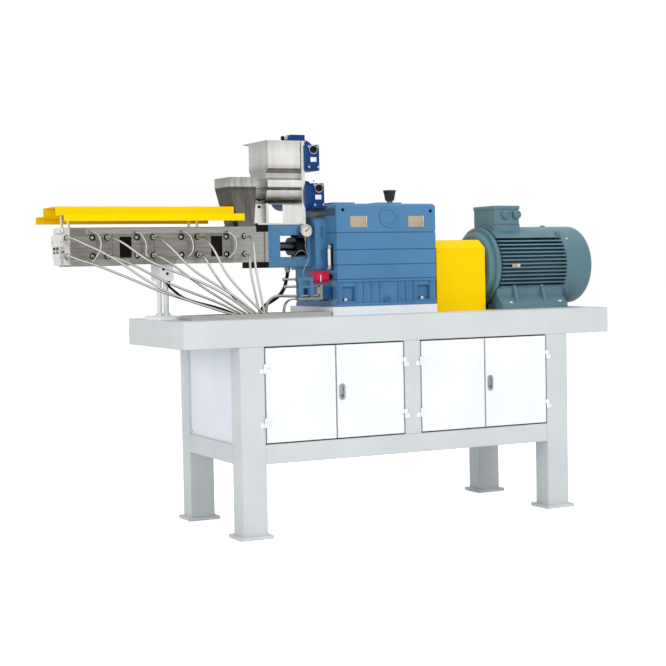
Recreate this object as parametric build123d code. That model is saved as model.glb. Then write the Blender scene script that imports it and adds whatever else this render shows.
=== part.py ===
from build123d import *
from math import pi, radians, tan
import os

# Twin screw extruder on a welded bench, in millimetres.
# X runs from the die end to the motor and is measured from the bench top's left end,
# Y runs from front to back with 0 in the middle, and Z is up from the floor.

# Bench
deck_length = 1729
deck_width = 560
deck_top = 750
deck_height = 94
leg_width = 91
leg_depth = 78
leg_inset_left = 198
leg_inset_right = 194
foot_overhang = 15
foot_thickness = 12
rail_bottom = 254
rail_height = 67
rail_depth = 60
post_left = 835
post_width = 65
floor_thickness = 6
panel_thickness = 4
panel_inset = 8

# Cabinet doors
door_gap = 5
leaf_gap = 6
door_thickness = 18
door_skin = 3
hinge_reach = 7
hinge_inset = 70
knuckle_radius = 5
knuckle_height = 16
pin_radius = 2.5
running_clearance = 0.05
seat_clearance = 0.3
hinge_plate_length = 18
hinge_plate_thickness = 2
latch_width = 18
latch_height = 52
latch_edge = 10
latch_centre_height = 487
latch_rim = 3
latch_rim_thickness = 1.5

# Screws, lantern and gearbox, all placed from one axis height
axis_height = 1000
screw_spacing = 40
shaft_radius = 16
shaft_seat_depth = 12
seal_radius = 32
seal_length = 49
lantern_left = 408
lantern_width = 145
lantern_drop = 76
lantern_rise = 77
lantern_end_wall = 45
lantern_side_wall = 12
window_length = 108
window_drop = 38
window_rise = 40
gearbox_left = 627
gearbox_length = 406
gearbox_width = 350
gearbox_rise = 148
gearbox_corner = 14
joint_rises = (-123, -71, -17, 44)
joint_width = 3
joint_groove = 3
neck_length = 50
neck_width = 210
neck_drop = 85
neck_rise = 103
neck_round = 38
neck_slot_width = 7
neck_slot_depth = 5
skirt_height = 76
skirt_base = 12
skirt_depth = 6
rib_thickness = 4
rib_reach = 5
rib_places = (7, 77, 108, 140, 174, 250, 281, 314, 381)
bolt_pocket_places = (21, 330)
bolt_pocket_width = 50
bolt_pocket_height = 51
bolt_pocket_depth = 20
bolt_pocket_rise = 20
side_pocket_inset = 28
side_pocket_width = 78
plinth_height = 30
plinth_left = 604
plinth_width = 360
boss_radius = 37
boss_height = 5
boss_relief_radius = 28
boss_relief = 3
boss_x = 210
boss_rise = 99
top_pad_places = (10, 191)
top_pad_lengths = (86, 98)
top_pad_width = 240
top_pad_height = 6
breather_x = 313
breather_neck_radius = 11
breather_neck_height = 18
breather_radius = 24
breather_foot_radius = 16.5
breather_height = 39
input_seal_radius = 75

# Barrel
barrel_left = -315
barrel_width = 131
barrel_drop = 55
barrel_rise = 71
feed_module_left = 277
module_pitch = 148
module_groove = 1.5
groove_depth = 3
fitting_rise = 37
fitting_drop = 25
fitting_places = (-325, -237, -186, -80, -22, 81, 142, 249, 318)
pocket_radius = 11
pocket_depth = 9
fitting_radius = 6
fitting_reach = 16
bolt_head_radius = 5
bolt_head_sink = 2
strip_thickness = 2.5
top_strip_left = -262
top_strip_rise = 49
top_strip_height = 20
low_strip_drop = 37
low_strip_height = 22
low_strip_length = 206
short_strip_drop = 42
short_strip_height = 13
short_strip_left = 59
short_strip_length = 104
heater_places = (-142, 191)
heater_length = 42
heater_drop = 32
heater_height = 71
heater_seat = 3
heater_proud = 0.5
clamp_length = 44
clamp_inset = 19
clamp_proud = 1
barrel_flange_length = 13
barrel_flange_margin = 6

# Die
die_thickness = 19
die_bar_reach = 8
die_bar_height = 39
die_bar_rise = 8
die_bolt_spread = 50
die_bolt_radius = 4
die_bolt_depth = 5
die_lip_reach = 11
die_lip_width = 84
die_lip_height = 38
die_slot_width = 30
die_slot_gap = 8
die_slot_height = 22
die_slot_depth = 16
die_foot_reach = 5
die_foot_width = 70
die_foot_drop = 53

# Barrel cover, its posts and the barrel's support
cover_left = -364
cover_length = 640
cover_sheet = 2
cover_lower_width = 340
cover_upper_width = 148
cover_gap = 18
cover_lower_height = 24
cover_upper_height = 28
cover_post_radius = 5
cover_post_spread = 40
cover_post_places = (-311, 150)
support_x = 32
support_base_length = 84
support_base_width = 150
support_base_shift = 10
support_base_thickness = 14
support_collar_radius = 14
support_collar_height = 9
support_post_radius = 9
support_post_spread = 24.5
support_block_length = 50
support_block_width = 90
support_block_height = 60

# Feed hopper
funnel_left = 264
funnel_right = 366
funnel_width = 140
funnel_neck_left = 298
funnel_neck_inset = 8
funnel_neck_width = 126
funnel_base_height = 6
funnel_base_margin = 4
funnel_slope_height = 135
funnel_collar_height = 33
funnel_sheet = 3
funnel_notch_gap = 1.5

# Feeder
feeder_left = 404
feeder_length = 133
feeder_width = 168
feeder_base_left = 368
feeder_base_thickness = 6
feeder_leg_thickness = 9
feeder_leg_width = 132
feeder_plate_thickness = 13
trough_clearance = 76
trough_height = 54
trough_width = 72
trough_bulge = 20
band_height = 28
band_inset = 8
recess_depth = 16
recess_height = 41
hopper_height = 95
hopper_corner = 6
feeder_lid_thickness = 4
feeder_lid_rear = 47
feeder_lid_right = 6
outlet_radius = 16
outlet_wall = 3
outlet_reach = 48
outlet_rise = 29
outlet_flange_margin = 4
outlet_flange_thickness = 6
drive_width = 100
drive_front = 97
drive_upper_length = 54
drive_upper_drop = 10
drive_upper_height = 93
drive_lower_length = 50
drive_lower_gap = 44
drive_lower_height = 90
drive_flange_radius = 55
drive_flange_thickness = 21
drive_corner = 4
drive_cap_radius = 13
drive_cap_drop = 18
drive_cap_height = 5
drive_neck_radius = 24
drive_neck_length = 85
drive_motor_length = 142
drive_upper_motor_radius = 62
drive_upper_motor_shift = 41
drive_upper_motor_rise = 20
drive_lower_motor_radius = 42
drive_box_length = 69
drive_box_height = 16

# Lubrication, gauge and filter
gauge_x = 545
gauge_rise = 54
gauge_radius = 23
gauge_depth = 20
gauge_boss_radius = 7
gauge_boss_length = 6
gauge_stem_radius = 4
gauge_stem_length = 12
filter_left = 553
filter_length = 58
filter_radius = 22
filter_taper = 4
filter_y = -125
filter_drop = 112
filter_nipple_radius = 8
manifold_left = 488
manifold_length = 65
manifold_depth = 24
manifold_bar_height = 12
manifold_post_places = (5, 50)
manifold_post_width = 12.5
manifold_height = 72
manifold_mid_rise = 33
manifold_mid_height = 10
manifold_foot_height = 9
pipe_radius = 4
pipe_plug_radius = 6
pipe_plug_length = 8
pipe_rises = (66, 40)
pipe_lefts = (436, 441)
low_pipe_rise = 6
low_pipe_diameter = 10
drip_pipe_diameter = 5
end_plate_gap = 23
end_plate_thickness = 9
end_plate_height = 53
pump_arm_height = 46
sight_radius = 6
sight_drop = 85
sight_height = 87
sight_y = -137
sight_end_height = 14
sight_end_half = 8
sight_gap = 6

# Hose tray
tray_left = 62
tray_right = 598
tray_front = -190
tray_back = -78
tray_height = 16
tray_wall = 3
tray_corner = 12

# Coupling guard and motor
guard_left = 1062
guard_length = 212
guard_width = 260
guard_height = 265
guard_chamfer = 45
guard_chamfer_drop = 31
motor_shaft_height = 164
motor_shield_left = 1291
motor_shield_length = 51
motor_shield_radius = 128
motor_rim_radius = 148
motor_body_length = 294
motor_radius = 151
motor_core_radius = 125
fin_count = 13
fin_pitch = 14.5
fin_thickness = 5.5
fin_lowest = -72.5
saddle_inset = 12
saddle_length = 118
saddle_width = 140
saddle_rise = 161
fan_cover_radius = 151
fan_cover_length = 127
fan_cover_round = 26
vent_radii = (30, 52, 74, 96)
vent_width = 10
vent_depth = 4
motor_foot_left = 1330
motor_foot_length = 298
motor_foot_width = 320
motor_foot_thickness = 19
motor_foot_inner = 120
motor_web_outer = 250
motor_web_inner = 170
motor_slope_height = 50
motor_web_height = 130
gusset_places = (68, 194)
gusset_thickness = 10
terminal_box_length = 115
terminal_box_width = 152
terminal_box_height = 57
terminal_box_corner = 8
terminal_lid_height = 13
terminal_lid_overhang = 3

# Water loops and hoses
loop_radius = 2.5
loop_reach = 22
hose_diameter = 8
drain_diameter = 13
cable_diameter = 9

# Worked out from the sizes above
front_face = -deck_width / 2
under_deck = deck_top - deck_height
rail_top = rail_bottom + rail_height
left_leg_inner = leg_inset_left + leg_width
right_leg_outer = deck_length - leg_inset_right
right_leg_inner = right_leg_outer - leg_width
barrel_front = -barrel_width / 2
barrel_bottom = axis_height - barrel_drop
barrel_top = axis_height + barrel_rise
lantern_bottom = axis_height - lantern_drop
lantern_top = axis_height + lantern_rise
lantern_right = gearbox_left - neck_length
cavity_left = lantern_left + lantern_end_wall
window_right = cavity_left + window_length
window_bottom = axis_height - window_drop
window_top = axis_height + window_rise
seal_left = lantern_right - seal_length
gearbox_right = gearbox_left + gearbox_length
gearbox_bottom = deck_top + plinth_height
gearbox_top = axis_height + gearbox_rise
low_strip_right = barrel_left + low_strip_length
cover_low = barrel_top + cover_gap
cover_step = cover_low + cover_lower_height
cover_top = cover_step + cover_upper_height
funnel_neck_right = funnel_right - funnel_neck_inset
funnel_base_top = barrel_top + funnel_base_height
funnel_slope_top = funnel_base_top + funnel_slope_height
funnel_top = funnel_slope_top + funnel_collar_height
feeder_right = feeder_left + feeder_length
feeder_base_top = lantern_top + feeder_base_thickness
trough_bottom = lantern_top + trough_clearance
trough_top = trough_bottom + trough_height
band_top = trough_top + band_height
feeder_shoulder = band_top + recess_height
feeder_top = feeder_shoulder + hopper_height
outlet_height = trough_bottom + outlet_rise
drive_left = feeder_right + feeder_plate_thickness
gauge_z = axis_height + gauge_rise
filter_z = axis_height - filter_drop
manifold_top = filter_z
manifold_bottom = manifold_top - manifold_height
manifold_right = manifold_left + manifold_length
tray_floor = deck_top + tray_wall
guard_top = deck_top + guard_height
motor_axis_height = deck_top + motor_shaft_height
motor_body_left = motor_shield_left + motor_shield_length
motor_body_right = motor_body_left + motor_body_length
saddle_top = motor_axis_height + saddle_rise
fan_cover_right = motor_body_right + fan_cover_length
middle_x = (cover_left + fan_cover_right) / 2


def block(x0, x1, y0, y1, z0, z1):
    """A box between two corners."""
    size = (x1 - x0, y1 - y0, z1 - z0)
    centre = ((x0 + x1) / 2, (y0 + y1) / 2, (z0 + z1) / 2)
    return Pos(*centre) * Box(*size)


def rod(x, y, z, radius, length, direction):
    """A cylinder that starts at a point and runs along one axis."""
    turn = {"x": Rot(0, 90, 0), "-x": Rot(0, -90, 0), "y": Rot(-90, 0, 0)}
    turn.update({"-y": Rot(90, 0, 0), "z": Rot(0, 0, 0), "-z": Rot(180, 0, 0)})
    upright = Pos(0, 0, length / 2) * Cylinder(radius, length)
    return Pos(x, y, z) * turn[direction] * upright


def save(shape, name):
    """Moves the part to the bench's middle and writes it."""
    placed = Pos(-middle_x, 0, 0) * shape
    placed.label = name
    export_step(placed, f"parts/{name}.step")


def mirrored(shape):
    """The shape and its copy on the other side of the middle plane."""
    return [shape, mirror(shape, about=Plane.XZ)]


def deck():
    top = block(0, deck_length, front_face, -front_face, under_deck, deck_top)
    return fillet(top.edges().filter_by(Axis.Z), 4)


def legs():
    made = []
    for x in (leg_inset_left, right_leg_inner):
        for side in (-1, 1):
            outer = side * deck_width / 2
            inner = side * (deck_width / 2 - leg_depth)
            y0, y1 = min(outer, inner), max(outer, inner)
            column = block(x, x + leg_width, y0, y1, foot_thickness, under_deck)
            foot = block(
                x - foot_overhang,
                x + leg_width + foot_overhang,
                y0 - foot_overhang,
                y1 + foot_overhang,
                0,
                foot_thickness,
            )
            made.append(column + foot)
    return Compound(made)


def lower_rails():
    long_rail = block(
        left_leg_inner, right_leg_inner, front_face, front_face + rail_depth, rail_bottom, rail_top
    )
    half_gap = deck_width / 2 - leg_depth
    left = block(
        leg_inset_left, leg_inset_left + rail_depth, -half_gap, half_gap, rail_bottom, rail_top
    )
    right = block(
        right_leg_outer - rail_depth, right_leg_outer, -half_gap, half_gap, rail_bottom, rail_top
    )
    return Compound(mirrored(long_rail) + [left, right])


def middle_posts():
    post = block(
        post_left, post_left + post_width, front_face, front_face + rail_depth, rail_top, under_deck
    )
    return Compound(mirrored(post))


def cabinet_floor():
    half = deck_width / 2
    z0 = rail_top - floor_thickness
    wide = block(left_leg_inner, right_leg_inner, rail_depth - half, half - rail_depth, z0, rail_top)
    deep = block(
        leg_inset_left + rail_depth,
        right_leg_outer - rail_depth,
        leg_depth - half,
        half - leg_depth,
        z0,
        rail_top,
    )
    return wide + deep


def rear_panels():
    y1 = deck_width / 2 - panel_inset
    y0 = y1 - panel_thickness
    left = block(left_leg_inner, post_left, y0, y1, rail_top, under_deck)
    right = block(post_left + post_width, right_leg_inner, y0, y1, rail_top, under_deck)
    return Compound([left, right])


def side_panels():
    half = deck_width / 2 - leg_depth
    x0 = leg_inset_left + panel_inset
    x1 = right_leg_outer - panel_inset
    left = block(x0, x0 + panel_thickness, -half, half, rail_top, under_deck)
    right = block(x1 - panel_thickness, x1, -half, half, rail_top, under_deck)
    return Compound([left, right])


# The two cabinet openings, each with its left and right edge
openings = ((left_leg_inner, post_left), (post_left + post_width, right_leg_inner))
door_bottom = rail_top + door_gap
door_top = under_deck - door_gap
hinge_heights = (door_bottom + hinge_inset, door_top - hinge_inset)


def leaf_edges(opening, left_leaf):
    """The left and right edge of one leaf in its opening."""
    x0, x1 = opening
    middle = (x0 + x1) / 2
    if left_leaf:
        return x0 + door_gap, middle - leaf_gap / 2
    return middle + leaf_gap / 2, x1 - door_gap


def knuckle(x, z0, radius):
    return rod(x, front_face - hinge_reach, z0, radius, knuckle_height, "z")


def hinge_plate(x, side, z0, start, length):
    """A flat plate on the front face, with the web that reaches to the knuckle."""
    ends = sorted((x + side * start, x + side * (start + length)))
    z1 = z0 + knuckle_height
    plate = block(*ends, front_face - hinge_plate_thickness, front_face, z0, z1)
    web_ends = sorted((x, x + side * (start + hinge_plate_thickness)))
    web_front = front_face - hinge_reach
    web = block(*web_ends, web_front, front_face - hinge_plate_thickness, z0, z1)
    return plate + web


def door(opening, left_leaf, with_latch):
    x0, x1 = leaf_edges(opening, left_leaf)
    back = front_face + door_thickness
    skin = door_skin
    pan = block(x0, x1, front_face, back, door_bottom, door_top)
    pan -= block(x0 + skin, x1 - skin, front_face + skin, back, door_bottom + skin, door_top - skin)
    if with_latch:
        pan -= latch_slot(x0 + latch_edge + latch_width / 2, front_face - 1, door_thickness)
    hinge_x, side = (opening[0], 1) if left_leaf else (opening[1], -1)
    for z in hinge_heights:
        low = z + seat_clearance / 2
        pan += hinge_plate(hinge_x, side, low, door_gap, hinge_plate_length)
        pan += knuckle(hinge_x, low, knuckle_radius)
        bore = rod(
            hinge_x,
            front_face - hinge_reach,
            low - 1,
            pin_radius + running_clearance,
            knuckle_height + 2,
            "z",
        )
        pan -= bore
    return pan


def latch_slot(x, y, depth):
    """The upright round-ended prism that the latch fills in its door."""
    outline = SlotOverall(latch_height, latch_width, rotation=90)
    return extrude(Plane((x, y, latch_centre_height), x_dir=(1, 0, 0), z_dir=(0, 1, 0)) * outline, depth)


def latch(opening):
    x0, _ = leaf_edges(opening, False)
    x = x0 + latch_edge + latch_width / 2
    body = latch_slot(x, front_face, door_thickness)
    rim = SlotOverall(latch_height + 2 * latch_rim, latch_width + 2 * latch_rim, rotation=90)
    face = Plane(
        (x, front_face - latch_rim_thickness, latch_centre_height), x_dir=(1, 0, 0), z_dir=(0, 1, 0)
    )
    body += extrude(face * rim, latch_rim_thickness)
    recess = SlotOverall(latch_height - 8, latch_width - 6, rotation=90)
    body -= extrude(face * recess, latch_rim_thickness + 5)
    lever = block(x - 4, x + 4, front_face, front_face + 6, latch_centre_height - 18, latch_centre_height + 6)
    return body + lever


def door_hinges():
    made = []
    for opening in openings:
        for x, side in ((opening[0], -1), (opening[1], 1)):
            for z in hinge_heights:
                low = z - seat_clearance / 2 - knuckle_height
                half = hinge_plate(x, side, low, 0, hinge_plate_length)
                half += knuckle(x, low, knuckle_radius)
                pin_length = 2 * knuckle_height + seat_clearance
                half += rod(x, front_face - hinge_reach, low, pin_radius, pin_length, "z")
                made.append(half)
    return Compound(made)


def hose_tray():
    z0 = deck_top
    tray = block(tray_left, tray_right, tray_front, tray_back, z0, z0 + tray_height)
    tray = fillet(tray.edges().filter_by(Axis.Z), tray_corner)
    w = tray_wall
    hollow = block(
        tray_left + w, tray_right - w, tray_front + w, tray_back - w, z0 + w, z0 + tray_height
    )
    hollow = fillet(hollow.edges().filter_by(Axis.Z), tray_corner - w)
    return tray - hollow


def gearbox_plinth():
    half = plinth_width / 2
    return block(plinth_left, gearbox_right, -half, half, deck_top, gearbox_bottom)


def joint_ring(z):
    """The thin groove where two castings of the housing meet, all the way round."""
    half = gearbox_width / 2
    z0, z1 = z - joint_width / 2, z + joint_width / 2
    ring = block(gearbox_left - 1, gearbox_right + 1, -half - 1, half + 1, z0, z1)
    inner = half - joint_groove
    return ring - block(gearbox_left + joint_groove, gearbox_right - joint_groove, -inner, inner, z0, z1)


def skirt_cuts(side):
    """The set-back lower face of the housing and the two pockets of its foot bolts."""
    face = side * gearbox_width / 2
    z0 = gearbox_bottom + skirt_base
    y0, y1 = sorted((face + side, face - side * skirt_depth))
    cuts = [block(gearbox_left - 1, gearbox_right + 1, y0, y1, z0, z0 + skirt_height)]
    y0, y1 = sorted((face, face - side * bolt_pocket_depth))
    z0 = gearbox_bottom + bolt_pocket_rise
    for place in bolt_pocket_places:
        x0 = gearbox_left + place
        cuts.append(block(x0, x0 + bolt_pocket_width, y0, y1, z0, z0 + bolt_pocket_height))
    return cuts


def skirt_ribs(side):
    """The upright ribs on the set-back lower face."""
    inner = side * (gearbox_width / 2 - skirt_depth)
    y0, y1 = sorted((inner, inner + side * rib_reach))
    z0 = gearbox_bottom + skirt_base
    made = []
    for place in rib_places:
        x0 = gearbox_left + place - rib_thickness / 2
        made.append(block(x0, x0 + rib_thickness, y0, y1, z0, z0 + skirt_height))
    return made


def side_pockets():
    """The two bolt pockets in the end that faces the lantern."""
    z0 = gearbox_bottom + bolt_pocket_rise
    end = gearbox_left + bolt_pocket_depth
    outer = side_pocket_inset + side_pocket_width
    pocket = block(gearbox_left, end, side_pocket_inset, outer, z0, z0 + bolt_pocket_height)
    return mirrored(pocket)


def neck():
    """The round-shouldered neck between the housing and the lantern, with a slot in each side."""
    half = neck_width / 2
    z0, z1 = axis_height - neck_drop, axis_height + neck_rise
    body = block(lantern_right, gearbox_left, -half, half, z0, z1)
    shoulders = body.edges().filter_by(Axis.X).group_by(Axis.Z)[-1]
    body = fillet(shoulders, neck_round)
    x0 = (lantern_right + gearbox_left - neck_slot_width) / 2
    for z in (axis_height - shaft_radius, z1 - neck_round):
        slot = block(x0, x0 + neck_slot_width, -half, neck_slot_depth - half, z - neck_round, z)
        body -= mirrored(slot)
    return body


def boss():
    """The raised round boss in front, with its set-back middle."""
    x, z = gearbox_left + boss_x, axis_height + boss_rise
    front = -gearbox_width / 2
    ring = rod(x, front, z, boss_radius, boss_height, "-y")
    return ring - rod(x, front - boss_height, z, boss_relief_radius, boss_relief, "y")


def gearbox_housing():
    half = gearbox_width / 2
    body = block(gearbox_left, gearbox_right, -half, half, gearbox_bottom, gearbox_top)
    top = body.faces().sort_by(Axis.Z)[-1]
    body = fillet(top.edges(), gearbox_corner)
    body -= [joint_ring(axis_height + rise) for rise in joint_rises]
    body -= skirt_cuts(-1) + skirt_cuts(1) + side_pockets()
    body += skirt_ribs(-1) + skirt_ribs(1)
    for place, length in zip(top_pad_places, top_pad_lengths):
        x0 = gearbox_left + place + gearbox_corner / 2
        pad_half = top_pad_width / 2
        body += block(x0, x0 + length, -pad_half, pad_half, gearbox_top, gearbox_top + top_pad_height)
    stub = rod(gearbox_left + breather_x, 0, gearbox_top, breather_neck_radius, breather_neck_height, "z")
    return body + stub + boss() + neck()


def breather():
    outline = Polyline(
        (0, 0),
        (breather_foot_radius, 0),
        (breather_radius - 2, breather_height * 0.75),
        (breather_radius, breather_height * 0.85),
        (breather_radius, breather_height),
        (0, breather_height),
        close=True,
    )
    cap = revolve(make_face(Plane.XZ * outline), Axis.Z)
    return Pos(gearbox_left + breather_x, 0, gearbox_top + breather_neck_height) * cap


def lantern():
    half = lantern_width / 2
    body = block(lantern_left, lantern_right, -half, half, lantern_bottom, lantern_top)
    body = fillet(body.edges().filter_by(Axis.X), 4)
    inner = half - lantern_side_wall
    body -= block(cavity_left, lantern_right, -inner, inner, window_bottom, window_top)
    body -= block(cavity_left, window_right, -half - 1, half + 1, window_bottom, window_top)
    for side in (-1, 1):
        body -= rod(
            cavity_left - shaft_seat_depth,
            side * screw_spacing / 2,
            axis_height,
            shaft_radius + running_clearance,
            shaft_seat_depth + 1,
            "x",
        )
    return body


def shaft_seal():
    """The dark housing that both shafts leave, and the round seal at the drive end."""
    face = Plane((seal_left, 0, axis_height), x_dir=(0, 1, 0), z_dir=(1, 0, 0))
    body = extrude(face * SlotCenterToCenter(screw_spacing, 2 * seal_radius), seal_length)
    for side in (-1, 1):
        body -= rod(
            seal_left - 1,
            side * screw_spacing / 2,
            axis_height,
            shaft_radius + running_clearance,
            seal_length + 2,
            "x",
        )
    gap = guard_left - gearbox_right
    return Compound([body, rod(gearbox_right, 0, motor_axis_height, input_seal_radius, gap, "x")])


def screw_shaft(side):
    left = cavity_left - shaft_seat_depth + seat_clearance
    length = lantern_right - seat_clearance - left
    return rod(left, side * screw_spacing / 2, axis_height, shaft_radius, length, "x")


def pressure_gauge():
    face = -lantern_width / 2
    back = face - gauge_boss_length
    body = rod(gauge_x, face, gauge_z, gauge_boss_radius, gauge_boss_length, "-y")
    body += fillet(rod(gauge_x, back, gauge_z, gauge_radius, gauge_depth, "-y").edges(), 2)
    stem_top = gauge_z - gauge_radius + gauge_stem_radius
    stem_length = gauge_stem_length + gauge_stem_radius
    return body + rod(gauge_x, back - gauge_depth / 2, stem_top, gauge_stem_radius, stem_length, "-z")


def sight_glass():
    x = gearbox_left - sight_radius - sight_gap
    bottom = axis_height - sight_drop
    tube_part = rod(x, sight_y, bottom, sight_radius, sight_height, "z")
    y0, y1 = sight_y - sight_end_half, sight_y + sight_end_half
    for z in (bottom, bottom + sight_height - sight_end_height):
        tube_part += block(x - sight_end_half, gearbox_left, y0, y1, z, z + sight_end_height)
    return tube_part


def manifold_block(x0, x1, z0, z1):
    """A bar of the lubrication block, between two X and two Z values."""
    return block(x0, x1, filter_y - manifold_depth / 2, filter_y + manifold_depth / 2, z0, z1)


def manifold():
    """The open block that spreads the oil: a top bar, two uprights and a middle bar."""
    frame = manifold_block(manifold_left, manifold_right, manifold_top - manifold_bar_height, manifold_top)
    for place in manifold_post_places:
        x0 = manifold_left + place
        frame += manifold_block(x0, x0 + manifold_post_width, manifold_bottom, manifold_top)
    x0 = manifold_left + manifold_post_places[0]
    x1 = manifold_left + manifold_post_places[1]
    z0 = manifold_bottom + manifold_mid_rise
    return frame + manifold_block(x0, x1, z0, z0 + manifold_mid_height)


def oil_filter():
    """The filter bowl, which narrows to the right, and the nipple that ends at the gearbox."""
    bowl = Polyline(
        (0, 0),
        (0, filter_radius - 1),
        (1, filter_radius),
        (filter_length * 0.55, filter_radius),
        (filter_length * 0.62, filter_radius - filter_taper / 2),
        (filter_length, filter_radius - filter_taper),
        (filter_length, 0),
        close=True,
    )
    body = revolve(make_face(Plane.XY * bowl), Axis.X)
    reach = gearbox_left - filter_left - filter_length
    body += rod(filter_length, 0, 0, filter_nipple_radius, reach, "x")
    return Pos(filter_left, filter_y, filter_z) * body


def lubrication_pipes():
    """Plugged stubs, the pipes between the uprights, the end plate, the foot bar and the low pipes."""
    post_a = manifold_left + manifold_post_places[0]
    post_b = manifold_left + manifold_post_places[1]
    plate_left = manifold_right + end_plate_gap
    half = manifold_depth / 2
    made = []
    for rise in (pipe_rises[1], low_pipe_rise):
        z = manifold_bottom + rise
        gap_left = post_b + manifold_post_width
        made.append(rod(gap_left, filter_y, z, pipe_radius, plate_left - gap_left, "x"))
    gap_left = post_a + manifold_post_width
    made.append(rod(gap_left, filter_y, manifold_bottom + low_pipe_rise, pipe_radius, post_b - gap_left, "x"))
    for rise, left, right in zip(pipe_rises, pipe_lefts, (manifold_left, post_a)):
        z = manifold_bottom + rise
        stub = rod(left, filter_y, z, pipe_radius, right - left, "x")
        made.append(stub + rod(left, filter_y, z, pipe_plug_radius, pipe_plug_length, "x"))
    foot_top = manifold_bottom
    plate_bottom = foot_top - manifold_foot_height
    foot = block(manifold_left, plate_left, filter_y - half, filter_y + half, plate_bottom, foot_top)
    plate = block(
        plate_left, plate_left + end_plate_thickness, filter_y - half, filter_y + half,
        plate_bottom, plate_bottom + end_plate_height,
    )
    arm = block(
        plate_left + end_plate_thickness, gearbox_left, filter_y - half, filter_y + half,
        plate_bottom, plate_bottom + pump_arm_height,
    )
    low = tube(low_pipe_route, low_pipe_diameter, "lubrication pipe")
    drips = [tube(route, drip_pipe_diameter, "drip pipe") for route in drip_routes]
    made.append(foot + plate + arm + drips)
    return Compound(made + [low])


def barrel_body():
    half = barrel_width / 2
    g = groove_depth
    body = block(barrel_left, feed_module_left, -half, half, barrel_bottom, barrel_top)
    for i in (1, 2, 3):
        x0 = barrel_left + i * module_pitch
        x1 = x0 + module_groove
        ring = block(x0, x1, -half - 1, half + 1, barrel_bottom - 1, barrel_top + 1)
        ring -= block(x0, x1, g - half, half - g, barrel_bottom + g, barrel_top - g)
        body -= ring
    body -= split_line(barrel_left, feed_module_left)
    for x0 in heater_places:
        body -= mirrored(heater_block(x0, 0))
    return body - pockets(fitting_places[1:8])


def split_line(x0, x1):
    """The thin groove along both sides where the upper and lower halves meet."""
    half = barrel_width / 2
    z0, z1 = axis_height, axis_height + module_groove
    return mirrored(block(x0, x1, -half - 1, module_groove - half, z0, z1))


def pockets(places):
    """The round pockets of the fittings and clamp bolts, in the front face."""
    made = []
    for x in places:
        for z in (axis_height + fitting_rise, axis_height - fitting_drop):
            made.append(rod(x, barrel_front, z, pocket_radius, pocket_depth, "y"))
    return made


def heater_block(x0, proud):
    """A dark block let into the barrel's front side."""
    z0 = axis_height - heater_drop
    y0, y1 = barrel_front - proud, barrel_front + heater_seat
    return block(x0, x0 + heater_length, y0, y1, z0, z0 + heater_height)


def clamps():
    """The two dark blocks above and below the barrel's right end, up against the lantern."""
    half = barrel_width / 2 + clamp_proud
    x0 = lantern_left - clamp_length
    upper = block(x0, lantern_left, -half, half, barrel_top - clamp_inset, lantern_top)
    lower = block(x0, lantern_left, -half, half, lantern_bottom, barrel_bottom)
    return [upper, lower]


def barrel_blocks():
    made = clamps()
    for x0 in heater_places:
        made += mirrored(heater_block(x0, heater_proud))
    return Compound(made)


def feed_module():
    half = barrel_width / 2
    m = barrel_flange_margin
    flange_left = lantern_left - barrel_flange_length
    body = block(feed_module_left, lantern_left, -half, half, barrel_bottom, barrel_top)
    body += block(flange_left, lantern_left, -half - m, half + m, barrel_bottom, barrel_top - clamp_inset)
    body -= clamps()
    body -= split_line(feed_module_left, flange_left)
    return body - pockets(fitting_places[8:])


def die_head():
    """The end plate, the clamp bar with two bolts, and the lip with both screws' outlets."""
    half = barrel_width / 2
    left = barrel_left - die_thickness
    plate = block(left, barrel_left, -half, half, barrel_bottom, barrel_top)
    bar_bottom = axis_height + die_bar_rise
    plate += block(left - die_bar_reach, left, -half, half, bar_bottom, bar_bottom + die_bar_height)
    lip_top = bar_bottom - module_groove
    lip_left = left - die_lip_reach
    lip_half = die_lip_width / 2
    lip_bottom = lip_top - die_lip_height
    plate += block(lip_left, left, -lip_half, lip_half, lip_bottom, lip_top)
    foot_half = die_foot_width / 2
    foot_low = axis_height - die_foot_drop
    plate += block(left - die_foot_reach, left, -foot_half, foot_half, foot_low, lip_bottom)
    slot_inner = die_slot_gap / 2
    slot = block(
        lip_left, lip_left + die_slot_depth, slot_inner, slot_inner + die_slot_width,
        lip_top - die_slot_height, lip_top,
    )
    plate -= mirrored(slot)
    for y in (-die_bolt_spread, die_bolt_spread):
        z = bar_bottom + die_bar_height / 2 - 4
        plate -= rod(left - die_bar_reach, y, z, die_bolt_radius, die_bolt_depth, "x")
    return plate


def barrel_fittings():
    """Hose fittings stand proud of their pockets, clamp bolts stay inside."""
    made = []
    depth = pocket_depth - bolt_head_sink
    for i, x in enumerate(fitting_places):
        for z in (axis_height + fitting_rise, axis_height - fitting_drop):
            if i % 2 == 0:
                made.append(fitting(x, z, i == 0))
            else:
                made.append(rod(x, barrel_front + bolt_head_sink, z, bolt_head_radius, depth, "y"))
    return Compound(made)


def fitting(x, z, shallow):
    start = barrel_front if shallow else barrel_front + pocket_depth
    length = fitting_reach if shallow else fitting_reach + pocket_depth
    return rod(x, start, z, fitting_radius, length, "-y")


def side_strip(x0, x1, z0, height):
    """A welded cover strip on the barrel's front side."""
    return block(x0, x1, barrel_front - strip_thickness, barrel_front, z0, z0 + height)


def jackets():
    """The cover strips of the cooling channels, on both sides of the barrel."""
    z_top = axis_height + top_strip_rise
    z_low = axis_height - low_strip_drop - low_strip_height
    z_short = axis_height - short_strip_drop - short_strip_height
    short_right = short_strip_left + short_strip_length
    made = mirrored(side_strip(top_strip_left, feed_module_left, z_top, top_strip_height))
    made += mirrored(side_strip(barrel_left, low_strip_right, z_low, low_strip_height))
    made += mirrored(side_strip(short_strip_left, short_right, z_short, short_strip_height))
    return Compound(made)


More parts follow.
